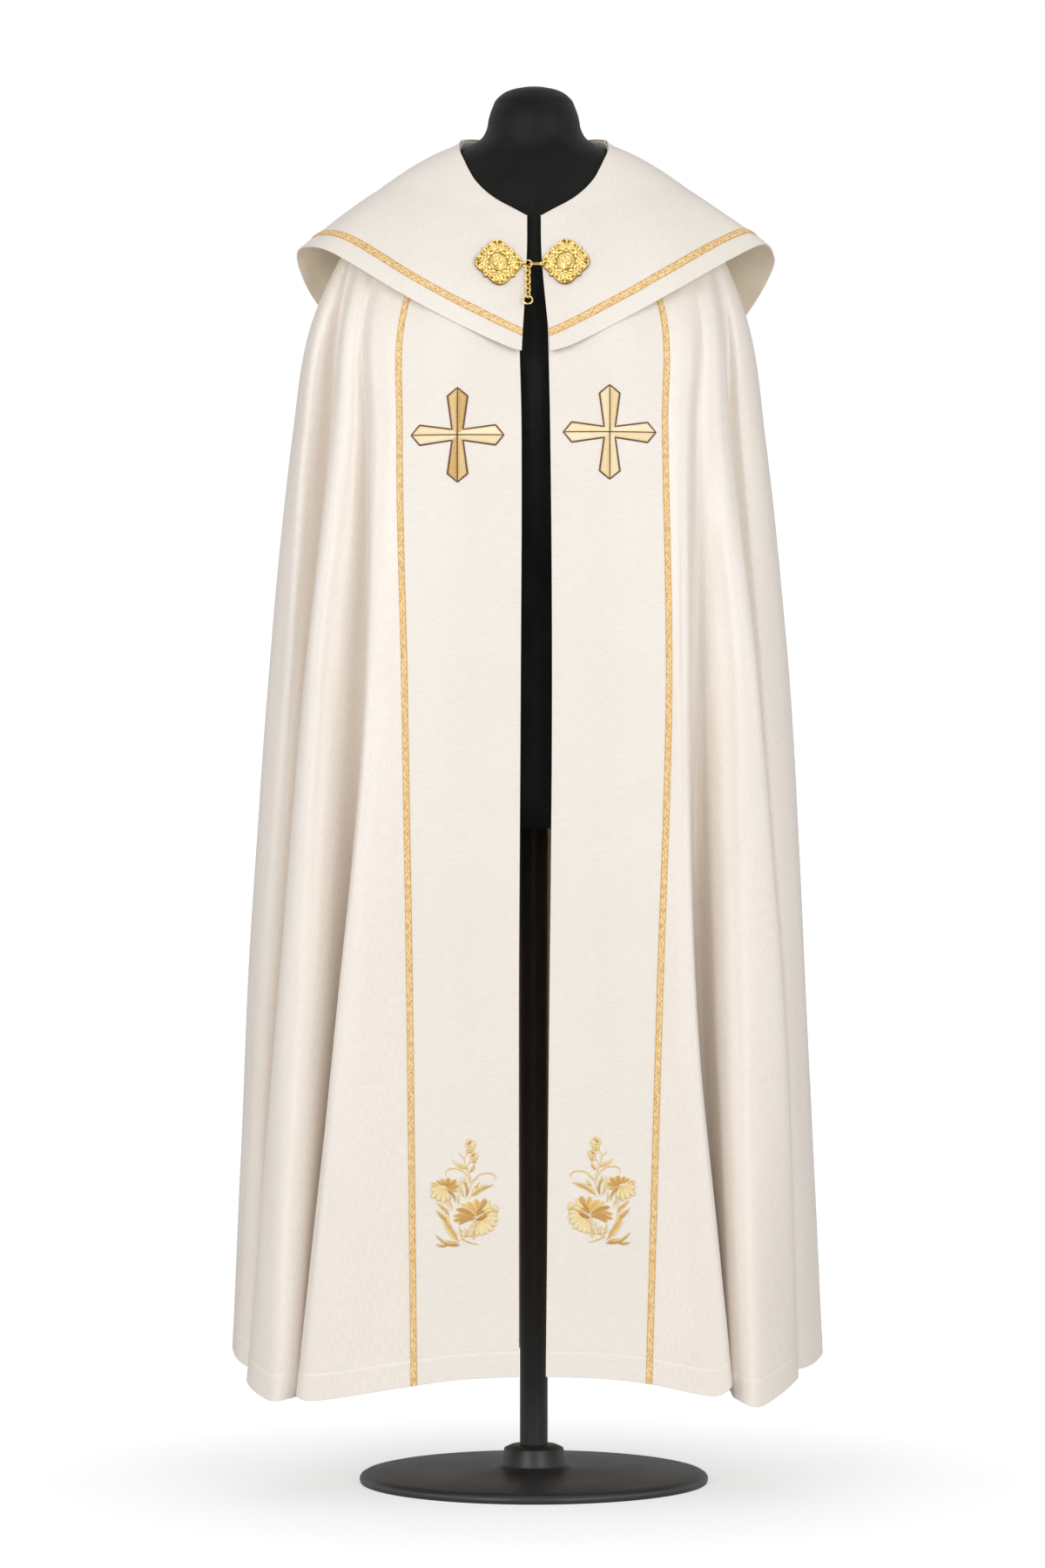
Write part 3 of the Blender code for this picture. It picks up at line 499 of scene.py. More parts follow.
def ripples(seed, rows, columns, lows, highs, downs, acrosses):
    """Smooth seeded relief between -1 and 1, in rows for the downs and columns for the acrosses."""
    knots = np.random.default_rng(seed).uniform(-1, 1, (rows, columns))
    read = smooth(np.linspace(lows[0], highs[0], rows), knots, downs)
    return smooth(np.linspace(lows[1], highs[1], columns), read.T, acrosses).T


def arc_lengths(grid, axis):
    steps = np.linalg.norm(np.diff(grid, axis=axis), axis=-1)
    return np.insert(np.cumsum(steps, axis=axis), 0, 0, axis=axis)


def lay_grid(mesh_edit, grid, grain, tags):
    """Adds a bmesh grid whose points are moved to the places given, rows by columns.

    grain is the UV map in metres, tags are attributes: one number a point, or one for them all.
    """
    rows, columns = grid.shape[:2]
    floats, maps = mesh_edit.verts.layers.float, mesh_edit.loops.layers.uv
    tags = {tag: np.broadcast_to(values, (rows, columns)) for tag, values in tags.items()}
    layers = {tag: floats.get(tag) or floats.new(tag) for tag in tags}
    mapped = maps.get("grain") or maps.new("grain")
    made = bmesh.ops.create_grid(mesh_edit, x_segments=columns - 1, y_segments=rows - 1, size=1.0)
    places = {}
    for vert in made["verts"]:
        across, down = ((vert.co[axis] + 1) / 2 for axis in (0, 1))
        places[vert] = (round(down * (rows - 1)), round(across * (columns - 1)))
    for vert, place in places.items():
        vert.co = grid[place]
        for tag, layer in layers.items():
            vert[layer] = tags[tag][place]
    for face in {face for vert in places for face in vert.link_faces}:
        face.smooth = True
        for loop in face.loops:
            loop[mapped].uv = grain[places[loop.vert]]


def close_up(mesh_edit, weld):
    """Joins points that meet, caps what is open and turns every face outwards."""
    bmesh.ops.remove_doubles(mesh_edit, verts=mesh_edit.verts, dist=weld)
    edges = [edge for edge in mesh_edit.edges if edge.is_boundary]
    if edges:
        bmesh.ops.holes_fill(mesh_edit, edges=edges)
    bmesh.ops.recalc_face_normals(mesh_edit, faces=mesh_edit.faces)


def grid_piece(name, grid, materials, grain, tags=None, weld=0.0):
    mesh_edit = bmesh.new()
    lay_grid(mesh_edit, grid, grain, tags or {})
    if weld:
        close_up(mesh_edit, weld)
    return finished(name, mesh_edit, materials)


def in_scene(name, data):
    piece = bpy.data.objects.new(name, data)
    bpy.context.scene.collection.objects.link(piece)
    return piece


def finished(name, mesh_edit, materials):
    mesh = bpy.data.meshes.new(name)
    mesh_edit.to_mesh(mesh)
    mesh_edit.free()
    for material in materials:
        mesh.materials.append(material)
    return in_scene(name, mesh)


def faces_of(piece):
    mesh = piece.data
    return BVHTree.FromPolygons([v.co for v in mesh.vertices], [tuple(p.vertices) for p in mesh.polygons])


def struck(tree, across, up):
    """Where a level ray from the front meets the faces, and which way they look there."""
    return tree.ray_cast(Vector((across, -1.0, up)), Vector((0, 1, 0)))[:2]


def placed(piece, body, node):
    """Names the body a piece rides on and the solid it stands for, if any, which it hides."""
    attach(piece, body)
    if node:
        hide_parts(node)
    return piece


def lined(piece):
    """Gives a sheet its thickness, with the lining on its inner face."""
    wall = piece.modifiers.new("lining and face", "SOLIDIFY")
    wall.thickness = WALL
    wall.offset = 0.0
    wall.use_rim = True
    wall.material_offset = 1
    wall.material_offset_rim = 0


# ---- dress form, neckline and the cloth's middle surfaces --------------------
FORM_TABLE = np.array(FORM_SECTIONS)[::-1] * MM


def form_points(turn, height, least=(0, 0, 0)):
    """Points on the dress form, held out to at least these half widths and depths."""
    turn = np.radians(np.asarray(turn, float))
    radii = smooth(FORM_TABLE[:, 0], FORM_TABLE[:, 1:], height)
    radii = (radii**NECK_BLEND + np.array(least) ** NECK_BLEND) ** (1 / NECK_BLEND)
    depth = np.where(np.cos(turn) > 0, radii[:, 1], radii[:, 2])
    return np.stack([-radii[:, 0] * np.sin(turn), -depth * np.cos(turn), np.asarray(height, float)], axis=-1)


def form_offset(turn, height, lift):
    """Points this far off the form, straight out from its face."""
    def at(more, higher):
        return form_points(turn + more, height + higher, NECK_STAND)

    along, down = at(PROBE_TURN, 0) - at(-PROBE_TURN, 0), at(0, -PROBE_RISE) - at(0, PROBE_RISE)
    return at(0, 0) + unit(np.cross(along, down)) * lift


def neck_height(turn):
    around = np.abs((np.asarray(turn, float) + 180) % 360 - 180)
    turns, heights = np.array(NECKLINE, float).T
    return smooth(turns, heights[:, None] * MM, around)[:, 0]


def front_fold(row, side):
    plan = np.array(row[1:6], float) * MM
    heights = np.array([*LEVEL_Z[1:5], row[6] * MM])
    return (row[0] if side < 0 else 360 - row[0]), np.column_stack([plan, heights])


def back_fold(turn, out):
    angle = math.radians(turn)
    points = []
    for level, (half_width, depth, share) in enumerate(BACK_OVAL, start=1):
        outward = unit(np.array([-math.sin(angle) / half_width, -math.cos(angle) / depth]))
        place = np.array([-half_width * math.sin(angle), -depth * math.cos(angle)])
        height = BACK_HEM * MM if level == 5 else LEVEL_Z[level]
        points.append([*((place + outward * out * share) * MM), height])
    return turn, np.array(points)


FOLDS = [front_fold(row, -1) for row in FOLDS_AT_MINUS_X]
FOLDS += [back_fold(*row) for row in BACK_FOLDS]
FOLDS += [front_fold(row, 1) for row in reversed(FOLDS_AT_PLUS_X)]
LAST_FRONT = len(FOLDS_AT_MINUS_X) - 1
FIRST_OTHER = LAST_FRONT + len(BACK_FOLDS) + 1
LAST_FOLD = len(FOLDS) - 1


def body_middle(places, yoke_shares, drops):
    """Middle of the body's wall, a column for each place along the row of folds, rows going down."""
    order = np.arange(len(FOLDS))
    turns = smooth(order, [[turn] for turn, _ in FOLDS], places)[:, 0]
    neck = neck_height(turns)
    yoke = np.minimum(YOKE_Z, neck - YOKE_LEAST)
    rows = []
    for share in yoke_shares:
        ease = NECK_EASE * (1 - share) ** 2
        rows.append(form_offset(turns, neck + (yoke - neck) * share, BODY_LIFT + ease))
    hung = [form_offset(turns, yoke, BODY_LIFT)]
    for level in range(5):
        hung.append(smooth(order, [points[level] for _, points in FOLDS], places))
    flat = np.array(hung).reshape(len(hung), -1)
    rows += list(smooth(LEVEL_DROP, flat, drops).reshape(len(drops), -1, 3))
    return np.array(rows)


def body_cloth(places, yoke_shares, drops):
    """The same with the small unevenness that cloth has: long soft ripples, puckers and the turned hem."""
    grid = body_middle(places, yoke_shares, drops)
    normals = grid_normals(grid)
    down = np.concatenate([np.zeros(len(yoke_shares)), drops])
    fade = step_between(0.10, 0.42, down)[:, None]
    limits = (0.0, 0.0), (HEM_DROP + 0.01, LAST_FOLD)
    long = ripples(11, 7, 2 * LAST_FOLD, *limits, down, places)
    fine = ripples(23, 22, 5 * LAST_FOLD, *limits, down, places)
    broad = ripples(31, 9, LAST_FOLD // 2, *limits, down, places)
    band = np.minimum(np.abs(places), np.abs(LAST_FOLD - places))
    on_side = step_between(1.9, 3.0, band)[None, :]
    growth = 0.5 + down[:, None] / HEM_DROP
    relief = on_side * (long * 0.9 * growth + fine * 0.22) + (1 - on_side) * fine * 0.10 + broad * 0.45
    lift = fade * relief * MM
    pucker = ripples(41, 150, 40, *limits, down, places)
    lift += fade * pucker * 0.16 * MM * ring_at(band, 2, 0.35)[None, :]
    hem = (HEM_DROP - down)[:, None]
    stitched = ring_at(hem, HEM_STITCH, 0.0011)
    lift += (0.22 * step_between(HEM_DEEP, HEM_DEEP - 0.003, hem) - 0.20 * stitched) * MM
    return grid + normals * lift[..., None]


def cape_middle(places, yoke_shares, free_shares):
    """Middle of the cape's wall. free_shares go from 0 at the shoulder over 1 at the braid's top,
    2 at the braid's foot to 3 at the edge."""
    rows = [[turn, leave, *end, bow] for turn, leave, end, _, bow in CAPE_LINES]
    rows += [[360 - turn, leave, *end, bow] for turn, leave, _, end, bow in reversed(CAPE_LINES[:-1])]
    read = smooth(np.arange(len(rows)), rows, places)
    turns, leave, edge, bow = read[:, 0], read[:, 1] * MM, read[:, 2:5] * MM, read[:, 5] * MM
    neck = neck_height(turns)

    def on_shoulder(share):
        return form_offset(turns, neck + (leave - neck) * share, CAPE_LIFT + CAPE_RISE * math.sqrt(share))

    grid = [on_shoulder(share) for share in yoke_shares]
    top = on_shoulder(1.0)
    reach = edge - top
    length = np.linalg.norm(reach, axis=1)[:, None]
    leaving = unit(top - on_shoulder(CAPE_LEAVES_FROM)) * length
    outward = unit(np.cross(np.gradient(top + edge, axis=0), reach))
    from_front = np.minimum(places, len(rows) - 1 - places)
    inset = GALLOON_INSET - GALLOON_DROP * (np.clip(1 - from_front, 0, 1) ** 1.3)[:, None]
    braid_top, braid_foot = 1 - (inset + GALLOON_WIDTH) / length, 1 - inset / length
    stations = np.stack([0 * length, braid_top, braid_foot, 0 * length + 1])
    for share in free_shares:
        step = min(int(share), 2)
        way = stations[step] + (stations[step + 1] - stations[step]) * (share - step)
        line = top + reach * way**2 * (3 - 2 * way)
        line += leaving * way * (1 - way) ** 2 - reach * way**2 * (1 - way)
        grid.append(line + outward * (4 * way * (1 - way)) * bow[:, None])
    return np.array(grid)


def cape_cloth(places, yoke_shares, free_shares):
    grid = cape_middle(places, yoke_shares, free_shares)
    normals = grid_normals(grid)
    down = np.concatenate([np.zeros(len(yoke_shares)), free_shares])
    last = 2 * (len(CAPE_LINES) - 1)
    limits = (0.0, 0.0), (3.0, last)
    lift = ripples(5, 4, last + 6, *limits, down, places) * 0.5
    lift += ripples(6, 9, 4 * last, *limits, down, places) * 0.14
    edge = step_between(2.0, 2.2, down)[:, None] * 0.15
    grid = grid + normals * ((lift + 0.3) * step_between(0.0, 0.9, down)[:, None] + edge)[..., None] * MM
    from_front = np.minimum(places, last - places)
    settled = np.interp(down, (0, 1, 3), (0, 0.8, 1))[:, None] ** 3
    settled = settled * step_between(4.2, 2.2, from_front)[None, :]
    grid[..., 1] += CAPE_SETTLE * settled
    return grid


# ---- finishes --------------------
IVORY = silk("ivory silk", linear(240, 233, 224), linear(232, 224, 214), glints=0.2, rough=0.50)
IVORY_SIDE = silk("ivory silk of the sides", linear(245, 236, 227), linear(233, 223, 211), rough=0.38)
LINING = lining("lining", linear(255, 245, 226), linear(251, 238, 214))
BRAID = woven_gold("gold braid", linear(200, 134, 46), linear(255, 232, 172), 0.10, 0.40)
CROSS_TONE = ((160, 110, 48), (212, 168, 96), (247, 222, 164), (255, 244, 214))
FLOWER_TONE = ((196, 138, 62), (226, 176, 94), (253, 224, 150), (255, 244, 204))
CROSS_GOLD = satin_stitch("gold of the crosses", CROSS_TONE, 0.05)
CROSS_BROWN = satin_stitch("brown edge of the crosses", ((74, 38, 22), (134, 82, 54)), 0.0, 0.55, 0.0012)
FLOWER_GOLD = satin_stitch("gold of the flowers", FLOWER_TONE, 0.0, 0.34)
GILT = gilt("gilt metal")
BLACK_SATIN = black_satin("black satin")
BLACK_STEEL = painted_steel("black paint")


# ---- dress form --------------------
def make_form():
    sections = len(FORM_SECTIONS)
    places = np.linspace(0, sections - 1, FORM_GRID[0])
    heights = smooth(np.arange(sections), FORM_TABLE[::-1, :1], places)[:, 0]
    turns = np.linspace(0, 360, FORM_GRID[1])
    grid = np.array([form_points(turns, np.full(len(turns), height)) for height in heights])
    normals = grid_normals(grid)
    seam = ring_at(turns, 90, 0.8) + ring_at(turns, 270, 0.8)
    hem = ring_at(heights, FORM_HEM, 0.0025)
    grid += normals * (0.25 * MM * (seam[None, :] - hem[:, None]))[..., None]
    grain = pairs(np.radians(turns) * 0.16, -heights[:, None])
    torso = grid_piece("satin_torso", grid, [BLACK_SATIN], grain, weld=0.02 * MM)
    placed(torso, BODY, "form_torso")


def turned_piece(name, profile, sides, node, material):
    """A turned piece: its half profile spun round the upright axis, with small rounded edges."""
    mesh_edit = bmesh.new()
    verts = [mesh_edit.verts.new((across, 0, height)) for across, height in profile]
    edges = [mesh_edit.edges.new(pair) for pair in zip(verts, verts[1:])]
    bmesh.ops.spin(
        mesh_edit, geom=verts + edges, cent=(0, 0, 0), axis=(0, 0, 1), dvec=(0, 0, 0),
        angle=2 * math.pi, steps=sides, use_merge=True, use_duplicate=False,
    )  # fmt: skip
    close_up(mesh_edit, 0.01 * MM)
    for face in mesh_edit.faces:
        face.smooth = True
    piece = finished(name, mesh_edit, [material])
    piece.data.set_sharp_from_angle(angle=math.radians(35))
    placed(piece, BODY, node)


def make_stand():
    turned_piece(
        "stand_pole",
        [(0, 0.7497), (0.016, 0.7497), (0.016, 0.0423), (0, 0.0423)],
        64, "form_pole", BLACK_STEEL,
    )  # fmt: skip
    turned_piece(
        "stand_base",
        [
            (0, 0.042), (0.0262, 0.042), (0.0272, 0.0416), (0.0336, 0.0386), (0.034, 0.0378),
            (0.0372, 0.024), (0.039, 0.0194), (0.043, 0.0170), (0.049, 0.0158), (0.120, 0.0140),
            (0.188, 0.0116), (0.1945, 0.0102), (0.1985, 0.0078), (0.2, 0.0050), (0.1997, 0.0018),
            (0.199, 0), (0, 0),
        ],
        128, "form_base", BLACK_STEEL,
    )  # fmt: skip


# ---- panels and cape --------------------
YOKE_SHARES = np.concatenate([[0, 0.006], (0.5 - 0.5 * np.cos(np.linspace(0, math.pi, 22)))[1:]])
# Rows close together over the turned hem's edge, its stitches and the fold at its foot.
HEM_ROWS = [
    1.289, 1.2965, 1.299, 1.3003, 1.3013, 1.3025, 1.304,
    1.307, 1.315, 1.3235, 1.3282, 1.3294, HEM_DROP,
]  # fmt: skip
CLOTH_DROPS = np.concatenate([np.linspace(0.009, 1.281, 160), HEM_ROWS])


def panel_places(first, last, steps, support):
    places = np.linspace(first, last, round((last - first) * steps) + 1)
    return np.concatenate([places[:1], [first + support], places[1:-1], [last - support], places[-1:]])


def fan(down, degrees, apex):
    """Grain of a flared panel: threads run one way over the whole cut, so they cross its folds."""
    turn = np.radians(degrees)
    return pairs((apex + down) * np.sin(turn), (apex + down) * np.cos(turn))


# Panels: node, first and last fold, cut and area laid flat, and for the flared ones how their threads
# fan out in degrees: from where and how far.
PANELS = {
    "left_band": ("orphrey_left", 0, 2, (0.139, 1.397), 0.17, None),
    "right_band": ("orphrey_right", LAST_FOLD - 2, LAST_FOLD, (0.136, 1.394), 0.168, None),
    "left_side_panel": ("side_left", 2, LAST_FRONT, (0.51, 1.48), 0.532, (6, 34)),
    "right_side_panel": ("side_right", FIRST_OTHER, LAST_FOLD - 2, (0.509, 1.483), 0.494, (-40, 34)),
    "back_panel": ("back", LAST_FRONT, FIRST_OTHER, (1.024, 1.484), 1.071, (-20, 40)),
}
# Steps to a fold, and how far in from an edge its first inner column is.
BAND_STEPS = (15, 0.012)
FLARED_STEPS = (8, 0.03)
PANEL_APEX = 0.30


def sewn_panel(name, node, first, last, flat, area, threads):
    places = panel_places(first, last, *(FLARED_STEPS if threads else BAND_STEPS))
    grid = body_cloth(places, YOKE_SHARES, CLOTH_DROPS)
    grid[:, 0] += unit(grid[:, 1] - grid[:, 0]) * SEAM / 2
    grid[:, -1] += unit(grid[:, -2] - grid[:, -1]) * SEAM / 2
    down = arc_lengths(grid, 0).mean(axis=1, keepdims=True)
    if threads:
        face, slot, share = IVORY_SIDE, "ivory_silk_side", (places - first) / (last - first)
        grain = fan(down, threads[0] + threads[1] * share, PANEL_APEX)
    else:
        face, slot, grain = IVORY, "ivory_silk", pairs(down, arc_lengths(grid, 1))
    piece = grid_piece(name, grid, [face, LINING], grain)
    lined(placed(piece, BODY, node))
    return piece


CAPE_YOKE_SHARES = np.concatenate([[0, 0.006], (np.linspace(0, 1, 40) ** 1.1)[1:]])
CAPE_FREE_SHARES = np.concatenate(
    [np.linspace(0.035, 1, 28), np.linspace(1.12, 2, 8), np.linspace(2.1, 2.94, 9), [2.985, 3.0]]
)
CAPE_LAST = 2 * (len(CAPE_LINES) - 1)
CAPE_STEPS = (9, 0.018)
# Threads of the cape: where their fan starts and how far it goes, in degrees, and how far off its apex is.
CAPE_FAN = (-33, 246, 0.13)


def make_cape():
    places = panel_places(0, CAPE_LAST, *CAPE_STEPS)
    grid = cape_cloth(places, CAPE_YOKE_SHARES, CAPE_FREE_SHARES)
    start, sweep, apex = CAPE_FAN
    grain = fan(arc_lengths(grid, 0), start + sweep * places / CAPE_LAST, apex)
    cape = grid_piece("shoulder_cape", grid, [IVORY, LINING], grain)
    lined(placed(cape, BODY, "cape"))
    return cape


# ---- braid --------------------
BRAID_BASE = 0.50 * MM
BRAID_RELIEF = 0.55 * MM
BRAID_REPEAT = 13.6
BRAID_EDGE = 4.15
BRAID_STEP = 0.95 * MM
BRAID_TOP = 16
SEAM_READ = (1330, 45)
CAPE_READ = (1500, 24)


def braid_relief(across, along):
    """Relief of the braid between 0 and 1: two waves that cross, an eye in each loop, a cord at each edge."""
    phase = 2 * math.pi * along / BRAID_REPEAT
    waves = [ring_at(across, side * 2.5 * np.sin(phase), 0.78) for side in (-1, 1)]
    eye_row = (along / BRAID_REPEAT * 2 + 0.5) % 1 - 0.5
    eye_row = eye_row * BRAID_REPEAT / 2
    shifted = ((along / BRAID_REPEAT * 2) % 1 - 0.5) * BRAID_REPEAT / 2
    eyes = np.exp(-((across / 0.95) ** 2 + (shifted / 1.15) ** 2))
    outer = np.exp(-(((np.abs(across) - 2.9) / 0.65) ** 2 + (eye_row / 1.2) ** 2)) * 0.75
    rope = 0.75 + 0.25 * np.sin(along * 2 * math.pi / 1.6 + np.sign(across) * 1.2)
    edges = ring_at(np.abs(across), BRAID_EDGE, 0.5) * rope * 0.85
    return np.maximum.reduce([waves[0], waves[1], eyes * 0.9, outer, edges, 0 * across + 0.08])


def rows_between(grid, stations, wanted):
    """Each row of a grid read at its own wanted distances, by straight lines between its points."""
    read = np.empty((*wanted.shape, 3))
    for row, (line, place, at) in enumerate(zip(grid, stations, wanted)):
        for axis in range(3):
            read[row, :, axis] = np.interp(at, place, line[:, axis])
    return read


def laid_braid(name, node, grid, normals, run, middle_of, width):
    """Braid as a closed strip along a cloth's grid: run is how far along it each row is, and middle_of
    finds the braid's middle in the distances across the rows."""
    along = np.linspace(0, run[-1], round(run[-1] / BRAID_STEP))
    half = width / 2
    across = np.concatenate([np.linspace(-half, half, BRAID_TOP), [half, 0, -half, -half]])
    raised = np.concatenate([np.ones(BRAID_TOP), [0, 0, 0, 1]])
    scallop = 1 + 0.018 * np.sin(2 * math.pi * along / MM / BRAID_REPEAT * 2)[:, None]
    spread = across[None, :] * scallop
    row = np.clip(np.searchsorted(run, along), 0, len(run) - 1)
    arcs = arc_lengths(grid[row], 1)
    arcs = arcs - middle_of(arcs)
    facing = unit(rows_between(normals[row], arcs, spread))
    points = rows_between(grid[row], arcs, spread) + facing * WALL / 2
    relief = braid_relief(spread * BRAID_EDGE / half, along[:, None] / MM)
    relief[:, [0, BRAID_TOP - 1, -1]] = 0.1
    lift = BRAID_SEAT + raised[None, :] * (BRAID_BASE + BRAID_RELIEF * relief)
    grain = pairs(spread, along[:, None])
    # The relief tag also paints the braid's colour: painted highlight where it is high, painted shade where
    # it is low.
    braid = grid_piece(name, points + facing * lift[..., None], [BRAID], grain, {"relief": relief}, 0.01 * MM)
    placed(braid, BODY, node)


def seam_braid(name, node, seam, spread):
    """Braid over a seam between a band and a side panel, from under the cape down to the hem."""
    places = seam + np.linspace(*spread, SEAM_READ[1])
    centre = int(np.argmin(np.abs(places - seam)))
    drops = np.linspace(0.07, HEM_DROP, SEAM_READ[0])
    grid = body_cloth(places, np.array([0.97, 1.0]), drops)
    normals = grid_normals(grid)[2:]
    grid = grid[2:]
    down = arc_lengths(grid[:, centre : centre + 1], 0)[:, 0]
    laid_braid(name, node, grid, normals, down, lambda arcs: arcs[:, centre : centre + 1], SEAM_GALLOON_WIDTH)


def cape_braid():
    places = np.linspace(0, CAPE_LAST, CAPE_READ[0])
    shares = np.linspace(0.96, 2.04, CAPE_READ[1])
    grid = cape_cloth(places, np.array([0.98, 1.0]), shares)
    normals = grid_normals(grid)[2:].swapaxes(0, 1)
    grid = grid[2:].swapaxes(0, 1)
    middle = CAPE_READ[1] // 2
    run = arc_lengths(grid[:, middle : middle + 1], 0)[:, 0]
    laid_braid("cape_braid", "galloon_cape", grid, normals, run, lambda arcs: arcs[:, -1:] / 2, GALLOON_WIDTH)


# ---- embroidery --------------------
STITCH_SEAT = 0.12
STITCH_WELD = 0.012 * MM


class Embroidery:
    """Padded stitching on a panel: closed pillows and laid cords, drawn in mm round a centre on its face."""

    def __init__(self, panel, centre, mirrored=False):
        self.tree = faces_of(panel)
        self.centre = centre
        self.mirrored = mirrored
        self.mesh_edit = bmesh.new()

    def on_face(self, plan, lift):
        """Places on the panel's face for plan points in mm, lifted by so many mm."""
        across = -plan[..., 0] if self.mirrored else plan[..., 0]
        lift = np.broadcast_to(lift, across.shape)
        places = np.empty((*across.shape, 3))
        for index in np.ndindex(across.shape):
            x, z = self.centre[0] + across[index] * MM, self.centre[1] + plan[index][1] * MM
            hit, normal = struck(self.tree, x, z)
            places[index] = hit + normal * (WALL / 2 + lift[index] * MM)
        return places

    def stitch(self, plan, lift, tones, grain):
        lay_grid(self.mesh_edit, self.on_face(plan, lift), grain, {"tone": tones})

    def pillow(self, plan, lift, tones, grain, seat=STITCH_SEAT):
        """A raised shape with a flat back; lift is 0 along its outline."""
        self.stitch(plan, lift + seat, tones, grain)
        self.stitch(plan, seat, tones, grain)

    def cord(self, path, width, height, tone, base=0.0, closed=False, sides=8):
        """A cord laid along a path in mm; width and height are half sizes and may change along it."""
        path = np.asarray(path, float)
        ahead = np.roll(path, -1, axis=0) - np.roll(path, 1, axis=0) if closed else np.gradient(path, axis=0)
        if closed:
            path, ahead = np.vstack([path, path[:1]]), np.vstack([ahead, ahead[:1]])
        ahead = unit(ahead)
        aside = -left_of(ahead)
        angles = np.linspace(0, 2 * math.pi, sides + 1)
        width = np.broadcast_to(width, len(path))[:, None]
        height = np.broadcast_to(height, len(path))[:, None]
        base = np.broadcast_to(base, len(path))[:, None]
        plan = path[:, None, :] + aside[:, None, :] * (width * np.cos(angles))[..., None]
        lift = base + height * (1 + np.sin(angles)) * 0.9
        run = np.insert(np.cumsum(np.linalg.norm(np.diff(path, axis=0), axis=1)), 0, 0)[:, None]
        self.stitch(plan, lift, tone, pairs(width * np.cos(angles), run) * MM)

    def piece(self, name, material):
        close_up(self.mesh_edit, STITCH_WELD)
        return finished(name, self.mesh_edit, [material])


CROSS_REACHES = (51.6, 52.9)
CROSS_WAIST = 6.1
CROSS_SHOULDER = 11.3
CROSS_TIP = 9.2
# Tone of the horizontal and of the vertical arms of each cross: the arms differ by painted sheen, as the
# satin threads of each way would catch the light.
CROSS_TONE_AND_SHEEN = {"left": (0.74, 0.36), "right": (0.76, 0.66)}
# Cords of the cross: half width and half height in mm, and tone.
CROSS_RIB = (0.62, 0.34, 0.3)
CROSS_EDGE = (0.95, 0.55, 0.5)


def make_cross(side, panel):
    """Cross of eight padded halves, a brown cord round it and one along each arm."""
    gold, brown = (Embroidery(panel, CROSS_CENTRES[side]) for _ in range(2))
    along = np.concatenate([np.linspace(0, 0.78, 34), np.linspace(0.80, 1, 9)])
    out = np.linspace(0, 1, 9)
    outline = []
    for arm in range(4):
        turn, reach = math.pi / 2 * arm, CROSS_REACHES[arm % 2]
        ahead = np.array([math.cos(turn), math.sin(turn)])
        aside = left_of(ahead)
        corners = np.array([(CROSS_WAIST, CROSS_WAIST), (reach - CROSS_TIP, CROSS_SHOULDER), (reach, 0)])
        edge = pairs(*(np.interp(along, (0, 0.79, 1), corners[:, axis]) for axis in (0, 1)))
        ridge = pairs(along * reach, 0.0)
        for half in (-1, 1):
            flat = ridge[:, None, :] * (1 - out)[None, :, None] + edge[:, None, :] * out[None, :, None]
            plan = flat[..., :1] * ahead + flat[..., 1:] * aside * half
            slope = (1 - out[None, :]) * 1.45 + 0.55 * (1 - out[None, :] ** 6)
            lift = slope * np.minimum(1, (1 - along[:, None]) * 9) ** 0.5
            # Painted sheen: a lighter band along each half, and one half painted lighter than the other as
            # painted side light.
            middle = 0.16 * np.sin(math.pi * out[None, :]) + 0.07 * half
            gold.pillow(plan, lift, CROSS_TONE_AND_SHEEN[side][arm % 2] - 0.08 + middle, flat[..., ::-1] * MM)
        for x, y in ((corners[0] * (1, -1)), (corners[1] * (1, -1)), corners[2], corners[1]):
            outline.append(ahead * x + aside * y)
        run = np.linspace(0.1, reach - 1.2, 40)
        rise = np.interp(run, (0, reach - 6, reach), (2.0, 2.0, 0.2))
        brown.cord(run[:, None] * ahead, *CROSS_RIB, base=rise)
    placed(gold.piece(f"{side}_cross", CROSS_GOLD), BODY, f"cross_{side}")
    fine = []
    for here, after in zip(outline, np.roll(outline, -1, axis=0)):
        fine += list(here + (after - here) * np.linspace(0, 1, 14, endpoint=False)[:, None])
    brown.cord(fine, *CROSS_EDGE, base=0.05, closed=True)
    placed(brown.piece(f"{side}_cross_edge", CROSS_BROWN), BODY, None)


def bow(start, end, bend, share):
    """Points of an arc-like line from start to end that bows sideways by bend times its length."""
    start, end = np.array(start, float), np.array(end, float)
    share = share[:, None]
    return start + (end - start) * share + left_of(end - start) * bend * 4 * share * (1 - share)


